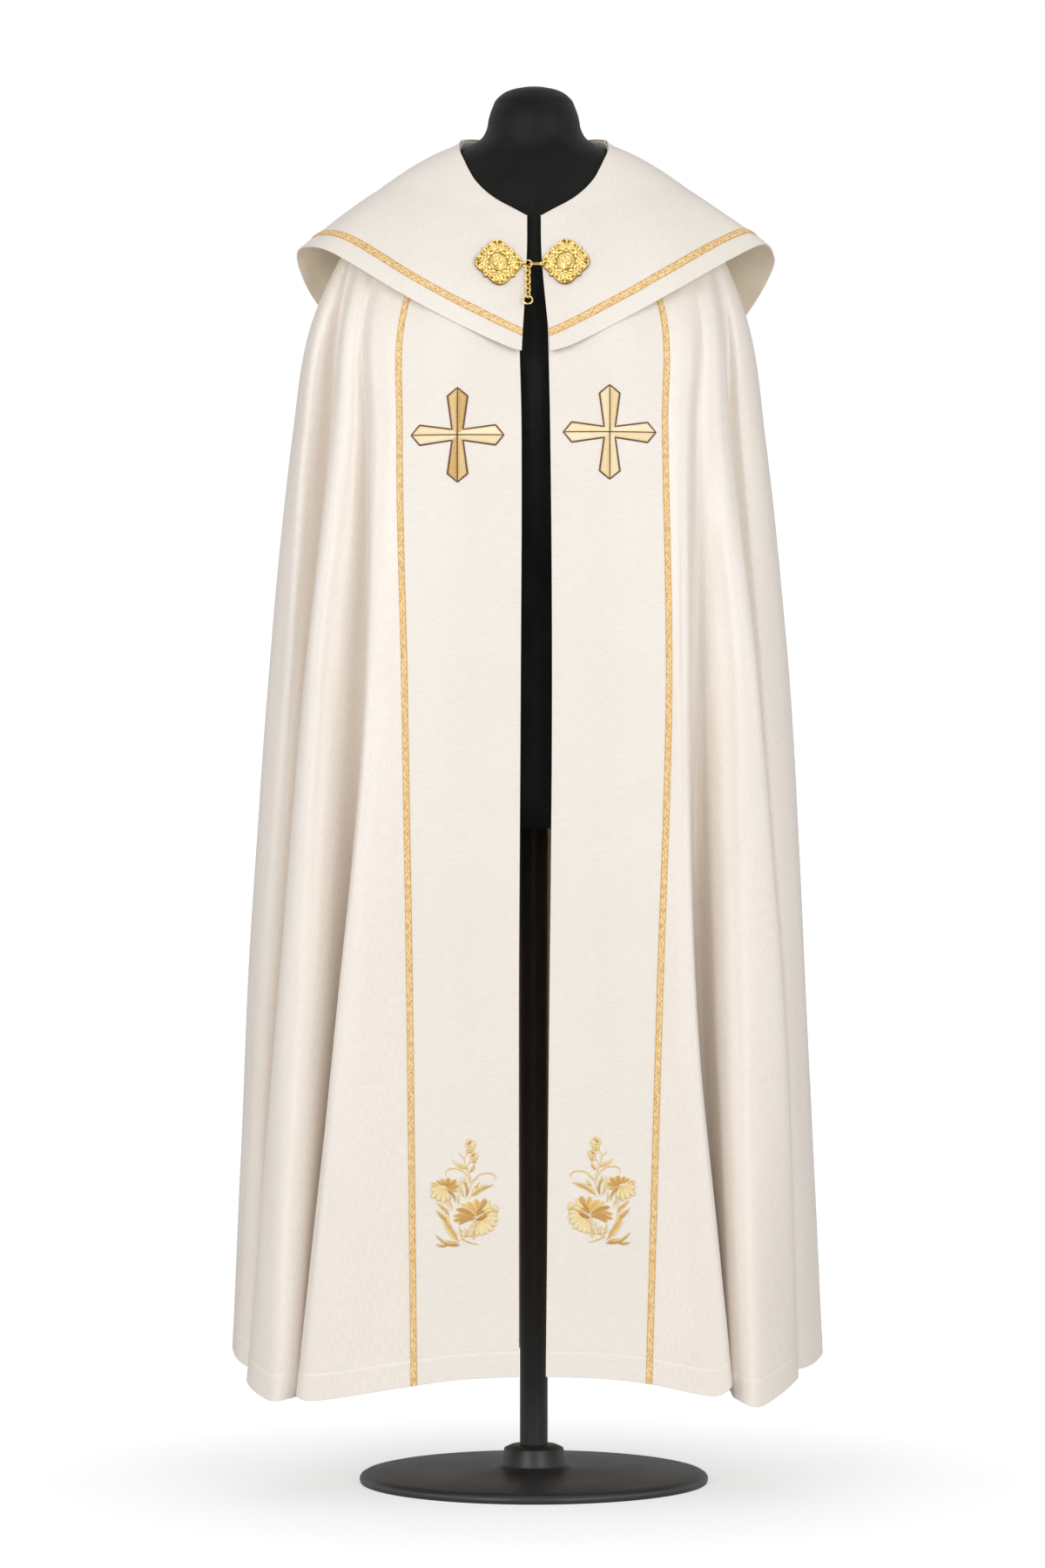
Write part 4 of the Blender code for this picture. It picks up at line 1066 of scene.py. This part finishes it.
def petal(work, start, end, width, bend, tones, lift, blunt=0.0, edge=None, seat=STITCH_SEAT):
    """One petal or leaf, higher along its middle and pointed at its start.

    Its end is pointed or, if blunt, round. With an edge it has a thin cord of that tone round it.
    """
    share = 1 - (1 - np.linspace(0, 1, 15)) ** (1 + 0.5 * blunt)
    axis = bow(start, end, bend, share)
    ahead = unit(np.gradient(axis, axis=0))
    leaf = np.sin(math.pi * share**0.85) ** 0.8
    drop = np.minimum(1, share / 0.62) ** 0.5 * np.sqrt(1 - np.clip((share - 0.62) / 0.38, 0, 1) ** 2.4)
    swell = (leaf + (drop - leaf) * blunt) * width
    out = np.linspace(-1, 1, 9)
    plan = axis[:, None, :] + left_of(ahead)[:, None, :] * (swell[:, None] * out[None, :])[..., None]
    rise = lift * (1 - out[None, :] ** 2) ** 0.6 * np.maximum(0.0, swell[:, None] / width) ** 0.5
    # Along the petal the thread tone goes from the first tone to the second; across it one side is painted
    # lighter and the other darker, as painted side light.
    tone = tones[0] + (tones[1] - tones[0]) * share[:, None] + 0.07 * out[None, :]
    tone = tone - 0.10 * np.exp(-((out[None, :] / 0.2) ** 2)) * (1 - blunt)
    length = np.linalg.norm(np.diff(axis, axis=0), axis=1).sum()
    grain = pairs(share[:, None] * length, swell[:, None] * out[None, :] * 2) * MM
    work.pillow(plan, rise, tone, grain, seat)
    if edge is not None:
        work.cord(np.vstack([plan[:, 0], plan[-2::-1, -1]]), 0.30, 0.26, edge, base=seat, sides=6)


def vine(work, points, width=0.5, tone=0.45, beads=0.0, steps=9):
    """A laid cord that runs smoothly through points, thin at its ends, with beads along it."""
    last = len(points) - 1
    path = smooth(np.arange(last + 1), points, np.linspace(0, last, last * steps + 1))
    share = np.linspace(0, 1, len(path))
    size = width * (0.35 + 0.65 * np.sin(math.pi * np.clip(share * 0.9 + 0.08, 0, 1)))
    size = size * (1 + beads * np.cos(share * 2 * math.pi * 6 * last))
    work.cord(path, size, size * 0.7, tone)


def feather(work, start, end, bend, leaves, reach, tones, width=1.5):
    """A feathered leaf: pairs of narrow leaflets that overlap and shorten towards its tip."""
    axis = bow(start, end, bend, np.linspace(0, 1, leaves + 2))
    vine(work, axis[:: max(1, leaves // 4)], 0.5, tones[0])
    for number in range(1, leaves + 1):
        ahead = unit(axis[number + 1] - axis[number - 1])
        size = reach * (0.75 + 0.5 * number / leaves) * (1 - 0.7 * (number / leaves) ** 2)
        for side in (-1, 1):
            tip = axis[number] + (ahead * 0.95 + left_of(ahead) * side * 0.60) * size
            wide = width * (1 - 0.35 * number / leaves)
            lit = [tone + 0.14 * side for tone in tones]
            petal(work, axis[number], tip, wide, -0.12 * side, lit, 0.7, seat=0.1 + 0.02 * number)
    petal(work, axis[-2], axis[-2] + unit(axis[-1] - axis[-2]) * reach * 0.9, width, 0, tones, 0.6)


def round_bud(work, centre, radius, foot):
    """A round bud: a ring of folded petals round a darker heart, on a stalk with two sepals."""
    x, y = centre

    def on_ring(turn):
        return x + radius * 0.72 * math.cos(turn), y + radius * 0.78 * math.sin(turn)

    for angle in range(0, 360, 45):
        turn, seat = math.radians(angle + 20), STITCH_SEAT + angle / 1500
        petal(work, on_ring(turn), on_ring(turn + 1.2), radius * 0.30, -0.17, (0.55, 0.95), 0.9, seat=seat)
    for start, end, wide, bend, tones in (
        ((-0.55, -0.1), (0.3, 0.5), 0.30, 0.15, (0.1, 0.3)),
        ((-0.3, -0.4), (0.55, 0.2), 0.30, -0.10, (0.6, 0.95)),
    ):
        ends = [(x + radius * across, y + radius * up) for across, up in (start, end)]
        petal(work, *ends, radius * wide, bend, tones, 1.0)
    vine(work, [foot, (x - radius * 0.35, y - radius * 1.2), (x - radius * 0.2, y - radius * 0.8)], 1.0, 0.55)
    for side in (-1, 1):
        sepal = (x - 0.3 * radius, y - radius * 1.45), (x + side * radius * 0.55, y - radius * 0.75)
        petal(work, *sepal, 1.1, -0.2 * side, (0.3, 0.7), 0.6)


# Petals and leaves: start, end, half width, bend, tone at each end.
DEEP_PETALS = (
    ((13, 33), (-4, 45), 2.3, -0.08, 0.4, 0.6), ((14, 34), (3, 47), 2.5, -0.05, 0.3, 0.5),
    ((15, 35), (10, 48), 2.6, 0, 0.45, 0.65), ((13, 31), (-9, 39), 3.1, -0.06, 0.1, 0.2),
    ((13, 30), (-12, 31), 2.6, -0.07, 0.22, 0.34), ((13, 29), (-12, 26), 2.6, -0.03, 0.12, 0.24),
    ((13, 28), (-6, 22), 2.1, -0.1, 0.1, 0.2), ((17, 37), (13, 51), 3, 0.05, 0.3, 0.45),
    ((16, 36), (23, 51), 3.5, -0.06, 0.1, 0.28), ((13, 32), (22, 43), 2.2, 0.1, 0.02, 0.14),
    ((13, 31), (23, 38), 2.1, 0.06, 0.02, 0.18), ((-21, 64), (-30, 71), 2.1, 0.06, 0.2, 0.35),
    ((-20, 64), (-25, 73), 2.1, 0.04, 0.15, 0.3), ((-20, 64), (-17, 74), 3.1, 0, 0.12, 0.28),
    ((-20, 64), (-9, 72), 2.9, -0.08, 0.12, 0.28), ((-20, 64), (-6, 66), 2.6, -0.1, 0.15, 0.3),
    ((-20, 64), (-7, 60), 2.2, -0.08, 0.25, 0.45), ((-26, 66), (-36, 68), 1.4, 0.08, 0.2, 0.35),
)  # fmt: skip
PALE_PETALS = (
    ((18, 29), (37, 33), 3, 0.06, 0.62, 0.9), ((18, 28), (38, 27), 3.1, 0.05, 0.66, 0.95),
    ((17, 27), (36, 21), 3.2, 0.04, 0.62, 0.9), ((16, 26), (32, 15), 3.1, 0.03, 0.66, 0.95),
    ((16, 25), (26, 12), 3, 0, 0.62, 0.9), ((15, 24), (21, 10), 2.8, -0.04, 0.66, 0.95),
    ((15, 23), (15, 9), 2.5, -0.08, 0.6, 0.85), ((19, 35), (29, 43), 2.6, 0.1, 0.6, 0.9),
    ((22, 42), (28, 48), 1.9, -0.15, 0.65, 0.92), ((22, 34), (31, 38), 2.1, 0.1, 0.6, 0.85),
    ((31, 38), (37, 42), 2.6, 0.1, 0.62, 0.92), ((32, 39), (38, 38), 2.1, -0.1, 0.5, 0.8),
    ((13, 26), (6, 20), 1.6, 0.15, 0.6, 0.9), ((-24, 65), (-37, 66), 2.3, -0.05, 0.6, 0.92),
    ((-24, 64), (-37, 59), 2.5, -0.06, 0.64, 0.95), ((-24, 63), (-36, 51), 2.9, -0.06, 0.6, 0.92),
    ((-23, 62), (-30, 48), 2.8, -0.04, 0.64, 0.95), ((-22, 61), (-24, 46), 2.9, 0.02, 0.6, 0.92),
    ((-21, 61), (-18, 49), 2.5, 0.08, 0.62, 0.9), ((-30, 64), (-20, 63), 2.9, -0.06, 0.7, 0.85),
)  # fmt: skip
LEAVES = (
    ((13, 27), (29, 36), 3.1, -0.1, 0, 0.12), ((3, 84), (-13, 94), 2.2, 0.08, 0.45, 0.85),
    ((6, 80), (11, 90), 1.8, -0.12, 0.3, 0.6), ((9, 70), (16, 78), 1.3, -0.06, 0.45, 0.75),
    ((11, 62), (17, 70), 1.4, -0.06, 0.4, 0.7), ((4, 66), (0, 76), 1.1, 0.1, 0.5, 0.8),
    ((0, 52), (-4, 75), 1.8, 0.1, 0.5, 0.8), ((2, 53), (-3, 71), 1.5, -0.18, 0.15, 0.4),
    ((-6, 45), (-6, 57), 1.4, 0.06, 0.5, 0.85), ((-20, 60), (-10, 46), 1.4, 0.2, 0.1, 0.3),
    ((-20, 50), (-14, 37), 1, 0.2, 0.5, 0.7), ((-17, 32), (-31, 46), 2, -0.05, 0.2, 0.6),
    ((-18, 33), (-24, 43), 1.5, 0.1, 0.6, 0.9), ((-19, 26), (-31, 38), 1.9, 0.05, 0.2, 0.5),
    ((-16, 20), (-18, 36), 1.6, 0.08, 0.5, 0.8), ((-4, -1), (-32, 11), 1.8, 0.14, 0.12, 0.36),
    ((-9, 3), (-28, 5), 1.6, 0.08, 0.4, 0.7), ((-18, -1), (-32, 0), 1.5, 0.1, 0.2, 0.5),
    ((-6, 1), (-22, 0), 1.3, -0.05, 0.4, 0.6), ((-4, 7), (17, 0), 0.9, -0.06, 0.45, 0.7),
    ((-1, 8), (-5, 18), 1.5, 0.14, 0.5, 0.85), ((1, 8), (0, 19), 1.4, -0.14, 0.45, 0.8),
    ((5, 8), (3, 17), 1.3, 0.12, 0.5, 0.85), ((7, 8), (9, 18), 1.4, -0.12, 0.5, 0.8),
    ((11, 5), (12, 13), 1.2, 0.12, 0.5, 0.8),
)  # fmt: skip
# Stems and tendrils: their points, half width, tone, beads.
VINES = (
    (((-8, 3), (2, 9), (7, 19), (12, 27)), 0.6, 0.50, 0.0),
    (((-6, 4), (-13, 15), (-18, 32), (-17, 44), (-13, 54)), 0.55, 0.55, 0.0),
    (((1, 50), (6, 60), (7, 72), (2, 86), (0, 94), (3, 104)), 0.65, 0.55, 0.0),
    (((4, 78), (4, 88), (7, 94)), 0.5, 0.50, 0.0),
    (((1, 92), (-2, 97), (-5, 100), (-6, 101)), 0.5, 0.45, 0.3),
    (((7, 68), (1, 79), (-8, 84), (-15, 84), (-20, 81), (-20, 76)), 0.75, 0.50, 0.35),
    (((9, 68), (15, 76), (23, 79), (31, 78), (35, 74), (33, 71)), 0.75, 0.50, 0.35),
    (((-14, 44), (-18, 43), (-20, 46), (-18, 49), (-15, 47)), 0.6, 0.60, 0.0),
    (((-2, 14), (-5, 17), (-5, 20)), 0.7, 0.35, 0.0),
)


# Feathered leaves: start, end, bend, pairs of leaflets, their length, tone at each end, half width.
FEATHERS = (
    ((-5, 2), (-22, 29), 0.05, 9, 10.5, (0.30, 0.75), 1.25),
    ((5, 50), (29, 65), 0.10, 7, 9.5, (0.35, 0.75), 1.15),
)
# Buds: centre, radius, foot of the stalk.
BUDS = (((7, 111), 6.2, (3, 100)), ((11, 98), 4.9, (6, 91)))
# How much higher each petal of a table lies than the one before, in mm.
PETAL_STEP = 0.025
SPRAY_CENTRES = {"left": (-78 * MM, 0.2870), "right": (75.5 * MM, 0.2895)}


def make_spray(side, panel):
    """Spray of flowers above the hem: two buds, two open flowers, feathered leaves and tendrils."""
    work = Embroidery(panel, SPRAY_CENTRES[side], mirrored=side == "right")
    for row in VINES:
        vine(work, *row)
    for row in FEATHERS:
        feather(work, *row)
    # Pale petals get a darker cord round them, painted shade in the creases between petals; deep petals get a
    # pale cord.
    for table, blunt, edge in ((PALE_PETALS, 1.0, 0.42), (DEEP_PETALS, 0.85, 0.85), (LEAVES, 0.0, None)):
        for number, (start, end, width, bend, dark, light) in enumerate(table):
            seat = STITCH_SEAT + PETAL_STEP * number
            petal(work, start, end, width, bend, (dark, light), 1.0, blunt, edge, seat)
    for row in BUDS:
        round_bud(work, *row)
    placed(work.piece(f"{side}_spray", FLOWER_GOLD), BODY, None)


# ---- clasp and chain --------------------
def plate_rim(angle):
    tip = 0.10 * np.maximum(0.0, np.cos(4 * (angle - math.pi / 4))) ** 16
    return PLATE_RADIUS * (0.835 + 0.20 * np.cos(2 * angle) ** 2 + tip)


def ridge_to(along, aside, start, end, width):
    """How near points are to a line from start to end: 1 on it, falling off over its width."""
    run = np.array(end) - np.array(start)
    share = np.clip(((along - start[0]) * run[0] + (aside - start[1]) * run[1]) / (run @ run), 0, 1)
    gap = (along - start[0] - share * run[0]) ** 2 + (aside - start[1] - share * run[1]) ** 2
    return np.exp(-gap / (width * (1 - 0.45 * share)) ** 2)


def plate_relief(share, angle):
    """Relief in mm: a domed boss in rings of petals, a palmette and scrolls in each lobe, a raised rim."""
    reach = share * plate_rim(angle) / PLATE_RADIUS
    boss = 1.9 * np.clip(1 - (reach / 0.44) ** 2, 0, 1) + 0.55 * ring_at(reach, 0.17, 0.022)
    boss += 0.5 * ring_at(reach, 0.36, 0.02) - 0.8 * ring_at(reach, 0.11, 0.02)
    boss += 1.1 * np.sqrt(np.clip(1 - (reach / 0.085) ** 2, 0, 1))
    inner = np.abs(np.cos(6 * angle)) ** (0.6 + 9 * np.clip(reach - 0.42, 0, 1))
    leaf = 1.5 * inner * ring_at(reach, 0.47, 0.07)
    outer = np.abs(np.sin(6 * angle)) ** (1 + 18 * np.clip(reach - 0.50, 0, 1))
    leaf = np.maximum(leaf, 1.4 * outer * ring_at(reach, 0.56, 0.06))
    for quarter in range(4):
        turn = angle - quarter * math.pi / 2
        along, aside = reach * np.cos(turn), np.abs(reach * np.sin(turn))
        for spray in range(4):
            size = 0.36 - 0.045 * spray
            tip = (0.58 + size * math.cos(spray * 0.52), size * math.sin(spray * 0.52))
            leaf = np.maximum(leaf, (1.7 - 0.1 * spray) * ridge_to(along, aside, (0.60, 0.02), tip, 0.055))
        leaf = np.maximum(leaf, 2.2 * np.exp(-((along - 0.62) ** 2 + aside**2) / 0.055**2))
        for centre_along, centre_aside, radius in SCROLLS:
            away = np.hypot(along - centre_along, aside - centre_aside)
            scroll = np.maximum(ring_at(away, radius, 0.028), np.exp(-((away / 0.034) ** 2)))
            leaf = np.maximum(leaf, 1.5 * scroll)
        along, aside = reach * np.cos(turn - math.pi / 4), np.abs(reach * np.sin(turn - math.pi / 4))
        leaf = np.maximum(leaf, 1.6 * ridge_to(along, aside, (0.58, 0), (0.93, 0), 0.06))
        leaf = np.maximum(leaf, 1.4 * ridge_to(along, aside, (0.62, 0.04), (0.80, 0.17), 0.05))
    leaf *= step_between(0.40, 0.44, reach) * step_between(0.955, 0.90, share)
    rim = 1.2 * ring_at(share, 0.955, 0.03)
    return np.maximum(boss, leaf) + rim


def make_plate(side, cape_tree):
    hit, normal = struck(cape_tree, *PLATE_CENTRES[side])
    outward = unit(np.array(normal))
    centre = np.array(hit) + outward * (WALL / 2 + PLATE_SEAT[side])
    across = unit(np.cross(outward, np.array([0.0, 0.0, -1.0])))
    up = np.cross(outward, across) * PLATE_TALL
    edge_shares, edge_heights = np.array(PLATE_EDGE).T
    shares = np.concatenate([[0.0], np.linspace(0.014, 0.985, PLATE_GRID[0]), edge_shares])
    turns = np.linspace(0, 2 * math.pi, PLATE_GRID[1])
    share, angle = np.meshgrid(shares, turns, indexing="ij")
    relief = plate_relief(share, angle)
    height = PLATE_GROUND + relief
    height[-len(PLATE_EDGE) :] = edge_heights[:, None]
    height[0] = height[0].mean()
    reach = (share * plate_rim(angle))[..., None]
    flat = across * np.cos(angle)[..., None] + up * np.sin(angle)[..., None]
    grid = centre + flat * reach + outward * (height * MM)[..., None]
    grain = pairs(share * np.cos(angle), share * np.sin(angle)) * PLATE_RADIUS
    # The relief tag paints the gilt: painted highlights on the high parts, painted shade in the hollows.
    tags = {"relief": np.clip(relief / 1.5, 0, 1)}
    plate = grid_piece(f"{side}_clasp_plate", grid, [GILT], grain, tags, weld=0.02 * MM)
    placed(plate, BODY, f"clasp_plate_{side}")


def wire_loop(name, body, node, centre, ahead, aside, half_length, half_width, wire):
    """Closed oval of round wire: half circles at the ends, straight runs between them."""
    straight = half_length - half_width
    turns, rounds = (np.linspace(0, 2 * math.pi, steps) for steps in WIRE_GRID)
    facing = np.cross(ahead, aside)
    out = ahead * np.cos(turns)[:, None] + aside * np.sin(turns)[:, None]
    shift = np.clip(np.cos(turns) * 4, -1, 1)[:, None] * straight
    path = centre + out * half_width + ahead * shift
    grid = path[:, None] + wire * (out[:, None] * np.cos(rounds)[:, None] + facing * np.sin(rounds)[:, None])
    grain = pairs(turns[:, None], rounds) * MM
    # The relief tag paints the wire lighter on the loop's outer side and darker on its inner side: painted
    # shade.
    loop = grid_piece(name, grid, [GILT], grain, {"relief": 0.75 + 0.2 * np.cos(rounds)}, weld=0.01 * MM)
    placed(loop, body, node)


def make_clasp(cape):
    tree = faces_of(cape)
    for side in PLATE_CENTRES:
        make_plate(side, tree)
    hinge = frame["joints"][0]
    centre = np.array(hinge["pos_m"])
    outward = unit(np.array(hinge["axis"]))
    x_axis = np.array([1.0, 0.0, 0.0])
    down = np.cross(x_axis, outward)
    wire_loop("ring_of_clasp", BODY, "clasp_ring", centre, x_axis, down, RING_BEND, RING_BEND, RING_WIRE)
    bend = EYE_BENDS["left"]
    at = centre + x_axis * (-RING_BEND + RING_WIRE + LINK_WIRE + LINK_GAP - bend)
    wire_loop("left_eye", BODY, "clasp_eye_left", at, x_axis, outward, bend, bend, LINK_WIRE)
    start = centre[0] + RING_BEND - (RING_WIRE + LINK_WIRE + OVAL_GAP)
    at = np.array([(start + OVAL_END) / 2, centre[1], centre[2]])
    slant, half = unit(outward + down), (OVAL_END - start) / 2
    wire_loop("oval_link", BODY, "clasp_oval", at, x_axis, slant, half, OVAL_HALF_WIDTH, LINK_WIRE)
    bend = EYE_BENDS["right"]
    at = np.array([EYE_RIGHT_AT, centre[1], centre[2]])
    wire_loop("right_eye", BODY, "clasp_eye_right", at, x_axis, unit(outward - down), bend, bend, LINK_WIRE)

    link_half = (LINK_PITCH + LINK_GAP) / 2 + LINK_WIRE
    first_top = RING_BEND - (RING_WIRE + LINK_WIRE + LINK_GAP)
    for number in range(TAIL_LINKS):
        at = centre + down * (first_top + link_half + number * LINK_PITCH)
        aside = unit(x_axis + outward * (-1 if number % 2 == 0 else 1))
        node = f"chain_link_{number + 1}"
        wire_loop(f"link_{number + 1}", TAIL, node, at, down, aside, link_half, LINK_HALF_WIDTH, LINK_WIRE)
    foot = first_top + 2 * link_half + (TAIL_LINKS - 1) * LINK_PITCH
    at = centre + down * (foot - (RING_WIRE + LINK_WIRE + LINK_GAP) + END_RING_BEND)
    wire_loop("end_ring", TAIL, "chain_end_ring", at, down, x_axis, END_RING_BEND, END_RING_BEND, RING_WIRE)


# ---- stage --------------------
FLOOR_RADIUS = 12.0
ROOM_LIGHT = 0.40
ROOM_GLOSS = (0.32, 0.95)
ROOM_SEEN = 1.05
FLOOR_GLOW = (0.45, 1.05)
# Soft boxes: place, target, size, power.
SOFT_BOXES = {
    "key": ((-2.7, -5.2, 2.5), (0, 0, 0.75), (2.4, 2.8), 121),
    "fill": ((2.7, -5.2, 2.3), (0, 0, 0.75), (2.4, 2.8), 110),
    "bounce_-1": ((-3.2, -1.3, 1.7), (0, 0, 1.1), (1.2, 1.2), 15),
    "bounce_1": ((3.2, -1.3, 1.7), (0, 0, 1.1), (1.2, 1.2), 15),
    "back": ((0, 4.6, 4.0), (0, 0, 0.8), (3.0, 2.0), 60),
}
CAMERA_AT = (-0.013, -6.0, 0.8)
CAMERA_LENS = 80.0
CAMERA_SENSOR = 24.0


def make_stage():
    mesh_edit = bmesh.new()
    bmesh.ops.create_circle(mesh_edit, cap_ends=True, radius=FLOOR_RADIUS, segments=96)
    finished("floor", mesh_edit, [pale_floor("pale floor")])


def make_light():
    """White room and soft boxes. The room is seen whiter than it lights, and gloss finds it dimmer
    straight before and behind the cope than beside it."""
    room = Finish("white room", bpy.data.worlds.new("white room"), "Background", Color=(1.0, 1.0, 1.0))
    bpy.context.scene.world = room.material
    seen = room.node("LightPath").ramp(0.0, 1.0, ROOM_LIGHT, ROOM_SEEN, "LINEAR")
    way = room.parts(room.node("TexCoord", output="Generated"))[1]
    gloss = [level - ROOM_LIGHT for level in ROOM_GLOSS]
    gloss = way.maths("ABSOLUTE", way).ramp(1.0, 0.4, *gloss, "LINEAR")
    room.set(Strength=room.node("LightPath", output="Is Glossy Ray") * gloss + seen)
    for name, (place, target, size, power) in SOFT_BOXES.items():
        light = bpy.data.lights.new(name, "AREA")
        light.shape = "RECTANGLE"
        light.size, light.size_y = size
        light.energy = power
        lamp = in_scene(name, light)
        lamp.location = place
        lamp.rotation_euler = (Vector(target) - Vector(place)).to_track_quat("-Z", "Y").to_euler()
        lamp.visible_glossy = name != "back"


def make_camera():
    """Level camera 6 m in front of the cope; its frame is 1.8 m tall there."""
    lens = bpy.data.cameras.new("camera")
    lens.sensor_fit = "VERTICAL"
    lens.sensor_height = CAMERA_SENSOR
    lens.lens = CAMERA_LENS
    camera = in_scene("camera", lens)
    camera.location = CAMERA_AT
    camera.rotation_euler = (math.pi / 2, 0, 0)
    bpy.context.scene.camera = camera
    bpy.context.scene.view_settings.view_transform = "Standard"


make_camera()
make_form()
make_stand()
panels = {name: sewn_panel(name, *row) for name, row in PANELS.items()}
cape = make_cape()
cape_braid()
seam_braid("left_braid", "galloon_left", 2, (-0.16, 0.34))
seam_braid("right_braid", "galloon_right", LAST_FOLD - 2, (-0.34, 0.16))
for side in ("left", "right"):
    make_cross(side, panels[f"{side}_band"])
    make_spray(side, panels[f"{side}_band"])
make_clasp(cape)
make_stage()
make_light()
